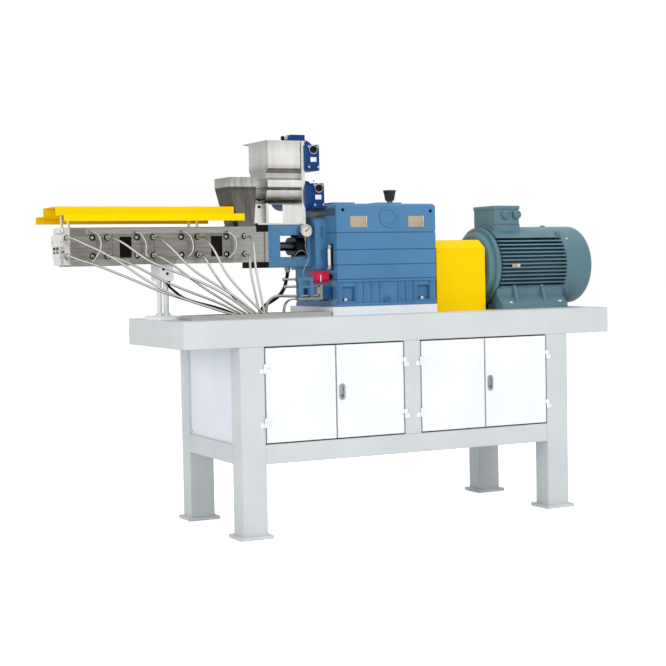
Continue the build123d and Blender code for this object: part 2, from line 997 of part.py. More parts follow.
def barrel_cover():
    """A stepped sheet channel: the outer half profile, its inner offset and their mirror image."""
    wide = cover_lower_width / 2
    narrow = cover_upper_width / 2
    s = cover_sheet
    half = [
        (0, cover_top),
        (narrow, cover_top),
        (narrow, cover_step),
        (wide, cover_step),
        (wide, cover_low),
        (wide - s, cover_low),
        (wide - s, cover_step - s),
        (narrow - s, cover_step - s),
        (narrow - s, cover_top - s),
        (0, cover_top - s),
    ]
    face = Plane((cover_left, 0, 0), x_dir=(0, 1, 0), z_dir=(1, 0, 0))
    right = extrude(face * make_face(Polyline(*half, close=True)), cover_length)
    return right + mirror(right, about=Plane.XZ)


def cover_posts():
    made = []
    length = cover_top - cover_sheet - barrel_top
    for x in cover_post_places:
        for side in (-1, 1):
            made.append(rod(x, side * cover_post_spread, barrel_top, cover_post_radius, length, "z"))
    return Compound(made)


def barrel_support():
    half = support_base_length / 2
    half_width = support_base_width / 2
    base = block(
        support_x - half,
        support_x + half,
        support_base_shift - half_width,
        half_width,
        deck_top,
        deck_top + support_base_thickness,
    )
    z0 = deck_top + support_base_thickness
    z1 = barrel_bottom - support_block_height
    for side in (-1, 1):
        x = support_x + side * support_post_spread / 2
        base += rod(x, 0, z0, support_collar_radius, support_collar_height, "z")
        base += rod(x, 0, z0, support_post_radius, z1 - z0, "z")
    half = support_block_length / 2
    depth = support_block_width / 2
    head = block(support_x - half, support_x + half, -depth, depth, z1, barrel_bottom)
    return base + chamfer(head.edges().filter_by(Axis.Y).group_by(Axis.Z)[0], 6)


def rectangle_at(x0, x1, width, z):
    """A flat rectangle at a height, for lofts."""
    return Pos((x0 + x1) / 2, 0, z) * Rectangle(x1 - x0, width)


def funnel_form(s):
    """The funnel's sloped part and collar, set in by s on every side."""
    lower = rectangle_at(
        funnel_neck_left + s, funnel_neck_right - s, funnel_neck_width - 2 * s, funnel_base_top
    )
    upper = rectangle_at(funnel_left + s, funnel_right - s, funnel_width - 2 * s, funnel_slope_top)
    half = funnel_width / 2 - s
    collar = block(funnel_left + s, funnel_right - s, -half, half, funnel_slope_top, funnel_top)
    return loft([lower, upper]) + collar


def feed_hopper():
    """The funnel, its base frame and the notch in which the feeder's spout lies."""
    s = funnel_sheet
    m = funnel_base_margin
    half = barrel_width / 2
    base = block(funnel_neck_left - m, funnel_neck_right + m, -half, half, barrel_top, funnel_base_top)
    inner_half = funnel_neck_width / 2 - s
    base -= block(
        funnel_neck_left + s, funnel_neck_right - s, -inner_half, inner_half, barrel_top, funnel_base_top
    )
    r = outlet_radius + funnel_notch_gap
    x0 = funnel_neck_right - 2 * s
    notch = block(x0, funnel_right + 1, -r, r, outlet_height, funnel_top + 1)
    notch += rod(x0, 0, outlet_height, r, funnel_right + 1 - x0, "x")
    return funnel_form(0) - funnel_form(s) - notch + base


def feeder_stand():
    half = feeder_width / 2
    base_half = lantern_width / 2
    leg_half = feeder_leg_width / 2
    leg_right = feeder_left + feeder_leg_thickness
    plate = block(feeder_right, drive_left, -half, half, lantern_top, feeder_top)
    base = block(feeder_base_left, feeder_right, -base_half, base_half, lantern_top, feeder_base_top)
    leg = block(feeder_left, leg_right, -leg_half, leg_half, feeder_base_top, trough_bottom)
    return plate + base + leg


def feeder_half_profile():
    """Half of the feeder seen from its end: hopper, hollow neck, band and round-bottomed trough."""
    half = feeder_width / 2
    neck_half = half - recess_depth
    low_half = trough_width / 2
    outline = Polyline(
        (0, feeder_top),
        (half, feeder_top),
        (half, feeder_shoulder),
        (neck_half, feeder_shoulder - recess_depth),
        (neck_half, band_top + band_inset),
        (half, band_top),
        (half, trough_top),
        (half - band_inset, trough_top - band_inset),
    )
    bend = ThreePointArc(
        (half - band_inset, trough_top - band_inset),
        (half - trough_bulge, (trough_top + trough_bottom) / 2 - band_inset),
        (low_half, trough_bottom),
    )
    close = Polyline((low_half, trough_bottom), (0, trough_bottom), (0, feeder_top))
    return make_face(outline + bend + close)


def feeder_hopper():
    face = Plane((feeder_left, 0, 0), x_dir=(0, 1, 0), z_dir=(1, 0, 0))
    right = extrude(face * feeder_half_profile(), feeder_length)
    body = right + mirror(right, about=Plane.XZ)
    uprights = body.edges().filter_by(Axis.Z).group_by(SortBy.LENGTH)[-1]
    body = fillet(uprights, hopper_corner)
    half = feeder_width / 2
    lid = block(
        feeder_left,
        drive_left + feeder_lid_right,
        -half,
        half + feeder_lid_rear,
        feeder_top,
        feeder_top + feeder_lid_thickness,
    )
    return body + lid


def feeder_outlet():
    spout = rod(feeder_left, 0, outlet_height, outlet_radius, outlet_reach, "-x")
    flange_radius = outlet_radius + outlet_flange_margin
    spout += rod(feeder_left, 0, outlet_height, flange_radius, outlet_flange_thickness, "-x")
    return spout - rod(feeder_left, 0, outlet_height, outlet_radius - outlet_wall, outlet_reach + 1, "-x")


def drive_levels():
    """The left edge, length, bottom and top of the upper and of the lower drive."""
    upper_top = feeder_top - drive_upper_drop
    upper_bottom = upper_top - drive_upper_height
    lower_top = upper_bottom - drive_lower_gap
    lower_bottom = lower_top - drive_lower_height
    return (
        (drive_left, drive_upper_length, upper_bottom, upper_top),
        (drive_left + drive_flange_thickness, drive_lower_length, lower_bottom, lower_top),
    )


def feeder_gearboxes():
    """Two worm drives: a box, its front cap and the neck of its motor. The lower sits on a round flange."""
    made = []
    y0 = -drive_front
    for x0, length, z0, z1 in drive_levels():
        gear = block(x0, x0 + length, y0, y0 + drive_width, z0, z1)
        gear = fillet(gear.edges(), drive_corner)
        middle = x0 + length / 2
        gear += rod(middle, y0, z1 - drive_cap_drop, drive_cap_radius, drive_cap_height, "-y")
        neck_y = y0 + drive_width
        gear += rod(middle, neck_y, (z0 + z1) / 2, drive_neck_radius, drive_neck_length, "y")
        if x0 > drive_left:
            flange_y = y0 + drive_width / 2 - drive_corner
            gear += rod(drive_left, flange_y, (z0 + z1) / 2, drive_flange_radius, drive_flange_thickness, "x")
        made.append(gear)
    return Compound(made)


def feeder_motors():
    upper, lower = drive_levels()
    y0 = drive_width - drive_front + drive_neck_length
    x = upper[0] + upper[1] / 2 + drive_upper_motor_shift
    z = (upper[2] + upper[3]) / 2 + drive_upper_motor_rise
    top_motor = rod(x, y0, z, drive_upper_motor_radius, drive_motor_length, "y")
    half = drive_box_length / 2
    z1 = z + drive_upper_motor_radius + drive_box_height
    box_end = y0 + drive_box_length
    top_motor += block(x - half - drive_cap_height, x + half / 2, y0, box_end, z, z1)
    x = lower[0] + lower[1] / 2
    z = (lower[2] + lower[3]) / 2
    return Compound([top_motor, rod(x, y0, z, drive_lower_motor_radius, drive_motor_length, "y")])


def coupling_guard():
    half = guard_width / 2
    outline = Polyline(
        (-half, deck_top),
        (-half, guard_top - guard_chamfer_drop),
        (guard_chamfer - half, guard_top),
        (half - guard_chamfer, guard_top),
        (half, guard_top - guard_chamfer_drop),
        (half, deck_top),
        close=True,
    )
    face = Plane((guard_left, 0, 0), x_dir=(0, 1, 0), z_dir=(1, 0, 0))
    return extrude(face * make_face(outline), guard_length)


def motor_shield():
    """The turned end shield, with the raised rim that meets the frame."""
    length = motor_shield_length
    inner = motor_shield_radius
    outline = Polyline(
        (0, 0),
        (0, inner - 10),
        (6, inner),
        (length * 0.5, inner + 4),
        (length * 0.55, motor_rim_radius),
        (length * 0.8, motor_rim_radius),
        (length * 0.85, motor_rim_radius - 7),
        (length, motor_rim_radius - 7),
        (length, 0),
        close=True,
    )
    shield = revolve(make_face(Plane.XY * outline), Axis.X)
    return Pos(motor_shield_left, 0, motor_axis_height) * shield


def fin_grooves():
    """The air grooves between the level fins, on both sides of the frame."""
    core = rod(motor_body_left, 0, motor_axis_height, motor_core_radius, motor_body_length, "x")
    height = fin_pitch - fin_thickness
    slabs = []
    for i in range(fin_count):
        z0 = motor_axis_height + fin_lowest + i * fin_pitch - height / 2
        r = motor_radius + 1
        slabs.append(block(motor_body_left, motor_body_right, -r, r, z0, z0 + height))
    return Compound(slabs) - core


def motor_frame():
    body = rod(motor_body_left, 0, motor_axis_height, motor_radius, motor_body_length, "x")
    body -= fin_grooves()
    x0 = motor_body_left + saddle_inset
    half = saddle_width / 2
    z0 = motor_axis_height + motor_core_radius
    body += block(x0, x0 + saddle_length, -half, half, z0, saddle_top)
    return body + motor_shield()


def motor_foot(side):
    """One foot of the frame: a sole, a web up to the frame and two gussets."""
    outer = motor_foot_width / 2
    web_outer = motor_web_outer / 2
    web_inner = motor_web_inner / 2
    z0 = deck_top
    sole_top = z0 + motor_foot_thickness
    outline = Polyline(
        (outer, z0),
        (outer, sole_top),
        (web_outer, z0 + motor_slope_height),
        (web_outer, z0 + motor_web_height),
        (web_inner, z0 + motor_web_height),
        (web_inner, sole_top),
        (motor_foot_inner / 2, sole_top),
        (motor_foot_inner / 2, z0),
        close=True,
    )
    face = Plane((motor_foot_left, 0, 0), x_dir=(0, 1, 0), z_dir=(1, 0, 0))
    foot = extrude(face * make_face(outline), motor_foot_length)
    rib = Polyline(
        (outer - 2, sole_top),
        (web_outer, z0 + motor_web_height - motor_foot_thickness),
        (web_outer, sole_top),
        close=True,
    )
    for place in gusset_places:
        rib_face = Plane((motor_foot_left + place, 0, 0), x_dir=(0, 1, 0), z_dir=(1, 0, 0))
        foot += extrude(rib_face * make_face(rib), gusset_thickness)
    foot -= rod(motor_foot_left - 1, 0, motor_axis_height, motor_radius, motor_foot_length + 2, "x")
    return foot if side > 0 else mirror(foot, about=Plane.XZ)


def motor_feet():
    return Compound([motor_foot(-1), motor_foot(1)])


def motor_fan_cover():
    """The round cowl, with ring grooves for the air in its end."""
    z = motor_axis_height
    cover = rod(motor_body_right, 0, z, fan_cover_radius, fan_cover_length, "x")
    rim = cover.edges().filter_by(GeomType.CIRCLE).sort_by(Axis.X)[-1]
    cover = fillet(rim, fan_cover_round)
    for inner in vent_radii:
        ring = rod(fan_cover_right, 0, z, inner + vent_width, vent_depth, "-x")
        cover -= ring - rod(fan_cover_right, 0, z, inner, vent_depth, "-x")
    return cover


def motor_terminal_box():
    x0 = motor_body_left + saddle_inset
    x1 = x0 + terminal_box_length
    half = terminal_box_width / 2
    z1 = saddle_top + terminal_box_height
    box = block(x0, x1, -half, half, saddle_top, z1)
    box = fillet(box.edges().filter_by(Axis.Z), terminal_box_corner)
    m = terminal_lid_overhang
    lid = block(x0 - m, x1 + m, -half - m, half + m, z1, z1 + terminal_lid_height)
    lid = fillet(lid.edges().filter_by(Axis.Z), terminal_box_corner + m)
    lid = chamfer(lid.faces().sort_by(Axis.Z)[-1].edges(), m)
    return box + lid


def radii(points):
    """The arc at each corner of a route: 0.45 of its shorter run over the tangent of half the turn."""
    found = []
    for before, here, after in zip(points, points[1:], points[2:]):
        incoming = Vector(*here) - Vector(*before)
        outgoing = Vector(*after) - Vector(*here)
        turn = radians(incoming.get_angle(outgoing))
        found.append(0.45 * min(incoming.length, outgoing.length) / tan(turn / 2))
    return found


def tube(points, diameter, name):
    """A round tube along straight runs that tangent arcs join."""
    arcs = radii(points)
    path = FilletPolyline(*points, radius=arcs)
    start = Vector(*points[1]) - Vector(*points[0])
    section = Plane(origin=points[0], z_dir=start) * Circle(diameter / 2)
    solid = sweep(section, path=path)
    expected = path.length * pi * diameter**2 / 4
    print(name, "length", round(path.length), "least radius", round(min(arcs)),
          "most", round(max(arcs)), "volume ratio", round(solid.volume / expected, 4))
    return solid


def hose(points, diameter, name):
    """A hose or cable, its end cut level where it lies on the tray's floor."""
    solid = tube(points, diameter, name)
    x, y, z = points[-1]
    reach = 6 * diameter
    return solid - block(x - reach, x + reach, y - reach, y + reach, z - reach, tray_floor)


# The free hoses and the cable, each from its fitting to the tray, with points chosen by hand
hose_routes = {
    "hose_a_upper": [(-325, -81.5, 1037), (-325, -105.5, 1037), (-313, -133.5, 1029), (-287, -155, 1011),
                     (-244, -167, 991), (-170, -168, 948), (-101, -168, 900), (-28, -168, 856),
                     (57, -168, 820), (134, -168, 794), (209, -168, 770), (282, -168, 749)],
    "hose_a_lower": [(-325, -81.5, 975), (-325, -99, 975), (-317, -115, 970), (-297, -124, 960),
                     (-252, -125, 947), (-177, -125, 917), (-98, -125, 884), (-21, -125, 850),
                     (56, -125, 825), (133, -125, 801), (210, -125, 776), (278, -125, 749)],
    "hose_b_upper": [(-186, -81.5, 1037), (-186, -105.5, 1037), (-174, -133.5, 1029), (-150, -155, 1011),
                     (-116, -165, 982), (-72, -168, 952), (-4, -168, 925), (92, -168, 888),
                     (178, -168, 848), (247, -168, 803), (310, -168, 749)],
    "hose_b_lower": [(-186, -81.5, 975), (-186, -99, 975), (-178, -115, 970), (-158, -124, 960),
                     (-118, -125, 944), (-50, -125, 908), (23, -125, 871), (107, -125, 839),
                     (190, -125, 807), (249, -125, 777), (299, -125, 749)],
    "hose_c_upper": [(-22, -81.5, 1037), (-22, -105.5, 1037), (-15, -133, 1028), (-1, -155, 1007),
                     (24, -166, 980), (50, -168, 949), (94, -168, 913), (150, -168, 878),
                     (215, -168, 840), (276, -168, 797), (330, -168, 749)],
    "hose_c_lower": [(-22, -81.5, 975), (-22, -98.5, 975), (-15, -115, 969), (2, -124, 956),
                     (34, -125, 935), (72, -125, 906), (137, -125, 859), (196, -125, 823),
                     (257, -125, 785), (317, -125, 749)],
    "hose_d_upper": [(142, -81.5, 1037), (142, -105.5, 1037), (147, -133, 1027), (157, -154, 1003),
                     (172, -166, 970), (186, -168, 936), (211, -168, 897), (256, -168, 847),
                     (305, -168, 798), (352, -168, 749)],
    "hose_d_lower": [(142, -81.5, 975), (142, -98, 975), (145.5, -114, 968), (152, -123, 950),
                     (166, -125, 924), (186, -125, 895), (220, -125, 851), (275, -125, 797),
                     (334, -125, 749)],
    "hose_e_upper": [(318, -81.5, 1037), (318, -105, 1037), (318.5, -130, 1026), (319, -144, 999),
                     (320, -147, 965), (323, -147, 922), (332, -147, 874), (344.5, -147, 811),
                     (355, -147, 749)],
    "hose_e_lower": [(318, -81.5, 975), (318, -91, 975), (318, -101.5, 970.5), (317.5, -109, 962),
                     (317, -112, 950), (317.5, -112, 928), (322, -112, 895), (331, -112, 851),
                     (342, -112, 800), (352, -112, 749)],
}
drain_route = [(492, -45, 924), (492, -45, 901), (482, -56, 882), (468, -74, 859), (451, -88, 838),
               (424, -95, 816), (393, -96, 801), (364, -96, 782), (350, -96, 747)]
cable_route = [(46, -17, 885), (46, -17, 873), (52, -21, 862), (66, -30, 848), (88, -47, 826),
               (127, -63, 810), (180, -74, 796), (238, -86, 778), (290, -91, 748)]
low_pipe_route = [(493, filter_y, 822), (466, filter_y, 822), (440, -125.5, 824), (415, -126, 825),
                  (392, -127, 819), (375, -128, 804), (367, -130, 779), (367, -130, tray_floor)]
drip_routes = (
    [(490, -128, 811), (466, -128, 812), (447, -127, 806), (437, -126, 790), (434, -126, 770),
     (434, -126, tray_floor)],
    [(490, -121, 811), (472, -121, 812), (455, -120, 804), (446, -119, 788), (443, -119, 770),
     (443, -119, tray_floor)],
)

# The rigid water pipes as X and Z values, and whether the lower end meets a cover strip
loop_routes = (
    (((-247, 1059), (-222, 1048), (-212, 1011), (-223, 983), (-246, 955)), True),
    (((-91, 1054), (-74, 1051), (-53, 1016), (-58, 979), (-44, 966)), False),
    (((78, 1057), (108, 1040), (117, 1008), (114, 985), (95, 966)), False),
    (((244, 1054), (271, 1037), (280, 1007), (270, 981), (246, 960)), False),
)


def water_loop(places, low_on_strip):
    """A rigid bent pipe that joins the upper and lower side of one zone."""
    y_strip = barrel_front - strip_thickness
    y_out = barrel_front - loop_reach
    (x0, z0), (x1, z1) = places[0], places[-1]
    points = [(x0, y_strip, z0)]
    points += [(x, y_out, z) for x, z in places]
    points.append((x1, y_strip if low_on_strip else barrel_front, z1))
    return tube(points, 2 * loop_radius, "water pipe")


def water_loops():
    return Compound([water_loop(places, on_strip) for places, on_strip in loop_routes])


def build():
    os.makedirs("parts", exist_ok=True)
    save(deck(), "deck")
    save(legs(), "legs")
    save(lower_rails(), "lower_rails")
    save(middle_posts(), "middle_posts")
    save(cabinet_floor(), "cabinet_floor")
    save(rear_panels(), "rear_panels")
    save(side_panels(), "side_panels")
    save(door(openings[0], True, False), "door_1")
    save(door(openings[0], False, True), "door_2")
    save(door(openings[1], True, False), "door_3")
    save(door(openings[1], False, True), "door_4")
    save(latch(openings[0]), "latch_left")
    save(latch(openings[1]), "latch_right")
    save(door_hinges(), "door_hinges")
    save(hose_tray(), "hose_tray")
    save(gearbox_plinth(), "gearbox_plinth")
    save(gearbox_housing(), "gearbox_housing")
    save(breather(), "breather")
    save(lantern(), "lantern")
    save(shaft_seal(), "shaft_seal")
    save(screw_shaft(-1), "screw_shaft_front")
    save(screw_shaft(1), "screw_shaft_rear")
    save(pressure_gauge(), "pressure_gauge")
    save(sight_glass(), "sight_glass")
    save(manifold(), "lubrication_manifold")
    save(oil_filter(), "oil_filter")
    save(lubrication_pipes(), "lubrication_pipes")
    save(barrel_body(), "barrel_body")
    save(feed_module(), "feed_module")
    save(die_head(), "die_head")
    save(barrel_fittings(), "barrel_fittings")
    save(jackets(), "jackets")
    save(barrel_blocks(), "barrel_blocks")
    save(barrel_cover(), "barrel_cover")
    save(cover_posts(), "cover_posts")
    save(barrel_support(), "barrel_support")
    save(feed_hopper(), "feed_hopper")
    save(feeder_stand(), "feeder_stand")
    save(feeder_hopper(), "feeder_hopper")
    save(feeder_outlet(), "feeder_outlet")
    save(feeder_gearboxes(), "feeder_gearboxes")
    save(feeder_motors(), "feeder_motors")
    save(coupling_guard(), "coupling_guard")
    save(motor_frame(), "motor_frame")
    save(motor_feet(), "motor_feet")
    save(motor_fan_cover(), "motor_fan_cover")
    save(motor_terminal_box(), "motor_terminal_box")
    save(water_loops(), "water_loops")
    for name, route in hose_routes.items():
        save(hose(route, hose_diameter, name), name)
    save(hose(drain_route, drain_diameter, "drain_hose"), "drain_hose")
    save(hose(cable_route, cable_diameter, "support_cable"), "support_cable")


build()
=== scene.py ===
import math

import bmesh
import bpy
from mathutils import Matrix, Vector


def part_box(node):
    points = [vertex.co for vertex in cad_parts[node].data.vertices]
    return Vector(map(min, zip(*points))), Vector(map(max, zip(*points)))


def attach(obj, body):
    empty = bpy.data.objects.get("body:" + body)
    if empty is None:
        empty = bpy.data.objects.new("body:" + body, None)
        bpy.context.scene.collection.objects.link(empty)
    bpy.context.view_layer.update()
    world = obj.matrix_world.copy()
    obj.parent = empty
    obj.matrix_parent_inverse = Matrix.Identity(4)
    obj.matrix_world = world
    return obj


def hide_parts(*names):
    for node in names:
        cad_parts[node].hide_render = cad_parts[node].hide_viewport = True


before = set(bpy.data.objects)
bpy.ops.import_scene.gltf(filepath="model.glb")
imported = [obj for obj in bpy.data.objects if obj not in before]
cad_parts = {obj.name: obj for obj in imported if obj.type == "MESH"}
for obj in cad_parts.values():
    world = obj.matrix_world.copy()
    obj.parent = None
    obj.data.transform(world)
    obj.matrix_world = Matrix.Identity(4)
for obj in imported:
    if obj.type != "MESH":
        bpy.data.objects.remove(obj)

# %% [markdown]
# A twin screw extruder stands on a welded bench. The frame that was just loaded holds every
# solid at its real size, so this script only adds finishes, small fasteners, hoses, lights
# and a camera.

scene = bpy.context.scene
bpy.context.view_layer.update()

# %% [markdown]
# The bench's own sizes are measured from the left end of its top, as a fitter would. The
# frame's origin is in the middle of the machine, so one small function turns millimetres from
# that end into metres in the frame.

# %% From the bench's left end to the frame
deck_low, deck_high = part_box("deck")
MM = 0.001


def at(x, y, z):
    """A point in metres, from millimetres measured at the bench's left end."""
    return Vector((deck_low.x + x * MM, y * MM, z * MM))


def edges_of(node):
    """A node's two corners, in millimetres from the bench's left end."""
    low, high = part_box(node)
    shift = Vector((deck_low.x, 0, 0))
    return (low - shift) / MM, (high - shift) / MM


print("deck top", round(deck_high.z, 4))

# %% [markdown]
# The camera comes first. Its place was found from the bench's straight edges: it stands to
# the left in front, a little above the bench top, and looks slightly down with a long lens.
# Yaw, pitch and roll give its three axes, which become the columns of its matrix.

# %% Camera
IMAGE_SIDE = 666
FOCAL_PIXELS = 1504.4
SENSOR_MM = 36
CAMERA_PLACE = (-1783, -4954.9, 924)
yaw, pitch, roll = 0.4633, -0.0441, -0.0195
reach = math.cos(pitch)
forward = Vector((math.sin(yaw) * reach, math.cos(yaw) * reach, math.sin(pitch)))
level_right = Vector((math.cos(yaw), -math.sin(yaw), 0))
level_up = level_right.cross(forward)
right = math.cos(roll) * level_right + math.sin(roll) * level_up
up = math.cos(roll) * level_up - math.sin(roll) * level_right
camera_data = bpy.data.cameras.new("photo_camera")
camera_data.sensor_width = SENSOR_MM
camera_data.lens = FOCAL_PIXELS / IMAGE_SIDE * SENSOR_MM
camera = bpy.data.objects.new("photo_camera", camera_data)
turn = Matrix((right, up, -forward)).transposed().to_4x4()
camera.matrix_world = Matrix.Translation(at(*CAMERA_PLACE)) @ turn
scene.collection.objects.link(camera)
scene.camera = camera
print("lens", round(camera_data.lens, 2))

# %% [markdown]
# Colours are picked as sRGB hex values, the way a paint chart gives them. Shaders want
# linear light, so one function turns them. A second adds a node with its settings, its links
# and, for a colour ramp, its stops. A third starts a material whose shader has its constants
# set on its own sockets. The last three are patterns that many finishes share: grain, relief
# and uneven gloss.

# %% Colour and node helpers


def linear(code):
    """An sRGB hex colour as linear red, green, blue and alpha."""
    values = [int(code[i : i + 2], 16) / 255 for i in (1, 3, 5)]
    return [v / 12.92 if v <= 0.04045 else ((v + 0.055) / 1.055) ** 2.4 for v in values] + [1.0]


def add(tree, kind, settings=None, links=None, stops=(), **values):
    """Adds a node with its properties, sockets and links, and a ramp's stops as hex colours."""
    node = tree.nodes.new(kind)
    for name, value in (settings or {}).items():
        setattr(node, name, value)
    for name, value in values.items():
        node.inputs[name.replace("_", " ")].default_value = value
    for socket, output in (links or {}).items():
        tree.links.new(output, node.inputs[socket])
    if stops:
        points = node.color_ramp.elements
        while len(points) < len(stops):
            points.new(0.5)
        for point, (position, code) in zip(points, stops):
            point.position = position
            point.color = linear(code)
    return node


def surface(name, code, roughness, metallic=0.0, **more):
    """A material with one shader, and that shader."""
    made = bpy.data.materials.new(name)
    made.use_nodes = True
    shader = made.node_tree.nodes["Principled BSDF"]
    shader.inputs["Base Color"].default_value = linear(code)
    shader.inputs["Roughness"].default_value = roughness
    shader.inputs["Metallic"].default_value = metallic
    for socket, value in more.items():
        shader.inputs[socket.replace("_", " ")].default_value = value
    made.diffuse_color = linear(code)
    return made, shader


def noise_on(tree, size_mm, detail=3.0, stretch=(1, 1, 1)):
    """Noise whose grain is about that many millimetres, stretched along an axis if asked."""
    place = add(tree, "ShaderNodeTexCoord").outputs["Object"]
    mapping = add(tree, "ShaderNodeMapping", links={"Vector": place}, Scale=stretch)
    cloud = add(
        tree, "ShaderNodeTexNoise", links={"Vector": mapping.outputs["Vector"]},
        Scale=1 / (size_mm * MM), Detail=detail,
    )
    return cloud.outputs["Fac"]


EDGE_SAMPLES = 4
SKIN_MM = 0.05


def relief(made, shader, height, distance_mm, strength, edge_mm=0.0):
    """Bump from a pattern, over edges that are rounded in the shading if asked."""
    tree = made.node_tree
    distance = distance_mm * MM
    node = add(tree, "ShaderNodeBump", links={"Height": height}, Distance=distance, Strength=strength)
    if edge_mm:
        rounded = add(tree, "ShaderNodeBevel", {"samples": EDGE_SAMPLES}, Radius=edge_mm * MM)
        tree.links.new(rounded.outputs["Normal"], node.inputs["Normal"])
    tree.links.new(node.outputs["Normal"], shader.inputs["Normal"])


def vary(made, shader, source, low, high):
    """Roughness that follows a pattern between two values."""
    tree = made.node_tree
    spread = add(tree, "ShaderNodeMapRange", links={"Value": source}, To_Min=low, To_Max=high)
    tree.links.new(spread.outputs["Result"], shader.inputs["Roughness"])


print("helpers ready")

# %% [markdown]
# Powder coat and enamel are both paint, and differ in their skin. Powder coat melts into a
# fine orange peel of about 2 mm, and sprayed enamel lies smoother under a thin gloss. Both
# get a slow, faint change of shade, because no large painted panel is one flat colour. Real
# plates and castings have slightly rounded edges that catch a line of light, so the shading
# rounds each edge by a few millimetres.

# %% Painted finishes
SHADE_MM = 260
SMUDGE_MM = 60
SMUDGE = 0.04


def paint(name, code, shade, roughness, peel_mm=2.2, peel=0.08, edge_mm=2.0, gloss=0.4):
    """Paint in two close shades, with a skin of its own grain and softly lit edges."""
    made, shader = surface(name, code, roughness, Specular_IOR_Level=gloss)
    tree = made.node_tree
    slow = noise_on(tree, SHADE_MM)
    shades = add(tree, "ShaderNodeValToRGB", links={"Fac": slow}, stops=((0.4, code), (0.6, shade)))
    tree.links.new(shades.outputs["Color"], shader.inputs["Base Color"])
    skin = noise_on(tree, peel_mm, detail=1.0)
    relief(made, shader, skin, SKIN_MM, peel, edge_mm)
    vary(made, shader, noise_on(tree, SMUDGE_MM), roughness - SMUDGE, roughness + SMUDGE)
    return made


# The bench reads as one calm welded mass, pale but darker than its doors.
powder_grey = paint("powder_coat_pale_grey", "#D1D6D8", "#CBD1D4", 0.42, edge_mm=5)
# The door leaves are the brightest faces below the deck.
door_white = paint("powder_coat_white", "#F4F6FA", "#EFF2F7", 0.38)
# A slightly blue white keeps the end panel apart from the doors.
panel_white = paint("powder_coat_panel_white", "#E9EDF5", "#E3E8F1", 0.4)
# Heavy castings, with a soft line of light along each edge.
enamel_blue = paint("enamel_mid_blue", "#5080A8", "#4979A1", 0.34, peel_mm=4, edge_mm=3, gloss=0.25)
# The pump's end: blue enamel with painted shade, darker than the housing behind it.
pump_shaded_blue = paint("enamel_blue_painted_shade", "#1F4F7C", "#1A4770", 0.36, peel_mm=4, edge_mm=2, gloss=0.15)
# The small feeder drives stand out against bright steel.
enamel_royal = paint("enamel_royal_blue", "#154283", "#103A78", 0.3, peel_mm=3, gloss=0.12)
# The motor is greyer and duller than the gearbox.
enamel_teal = paint("enamel_grey_teal", "#62848F", "#5A7C88", 0.42, peel_mm=3, gloss=0.25)
# Warning yellow has almost no gloss here, so that it stays pure.
enamel_yellow = paint("enamel_safety_yellow", "#FFD400", "#FBD000", 0.4, peel_mm=3, gloss=0.08)
# Plinth and support, between the deck's grey and the doors' white.
enamel_white = paint("enamel_plinth_white", "#E9ECEE", "#E2E6E9", 0.4, peel_mm=3)
# The one warm spot in the blue.
enamel_red = paint("enamel_filter_red", "#CE1B44", "#BC173B", 0.3, peel_mm=3, gloss=0.2)
print("paints ready")

# %% [markdown]
# Steel is told by how it was worked and by what it mirrors: the pale ceiling above, the dark
# machine and floor below. A plain white studio has little of that contrast, so the reflection
# is painted into the colour: lighter where a surface leans up, darker where it leans down, and
# darker on faces turned to the left, as painted shade. It is then streaked along the direction
# in which the sheet was brushed. A metal keeps the default IOR, and its colour is its painted
# reflection.

# %% Metal finishes
MULTIPLY = {"data_type": "RGBA", "blend_type": "MULTIPLY"}
# The mix node has sockets for numbers, vectors and colours. These are the numbers of its colours.
COLOUR_A, COLOUR_B, COLOUR_OUT = 6, 7, 2
STREAK_SPAN = (0.35, 0.65)
LEFT_SPAN = (-0.9, -0.3)
STREAK_BUMP = 0.12
SMOOTHER, ROUGHER = 0.06, 0.08


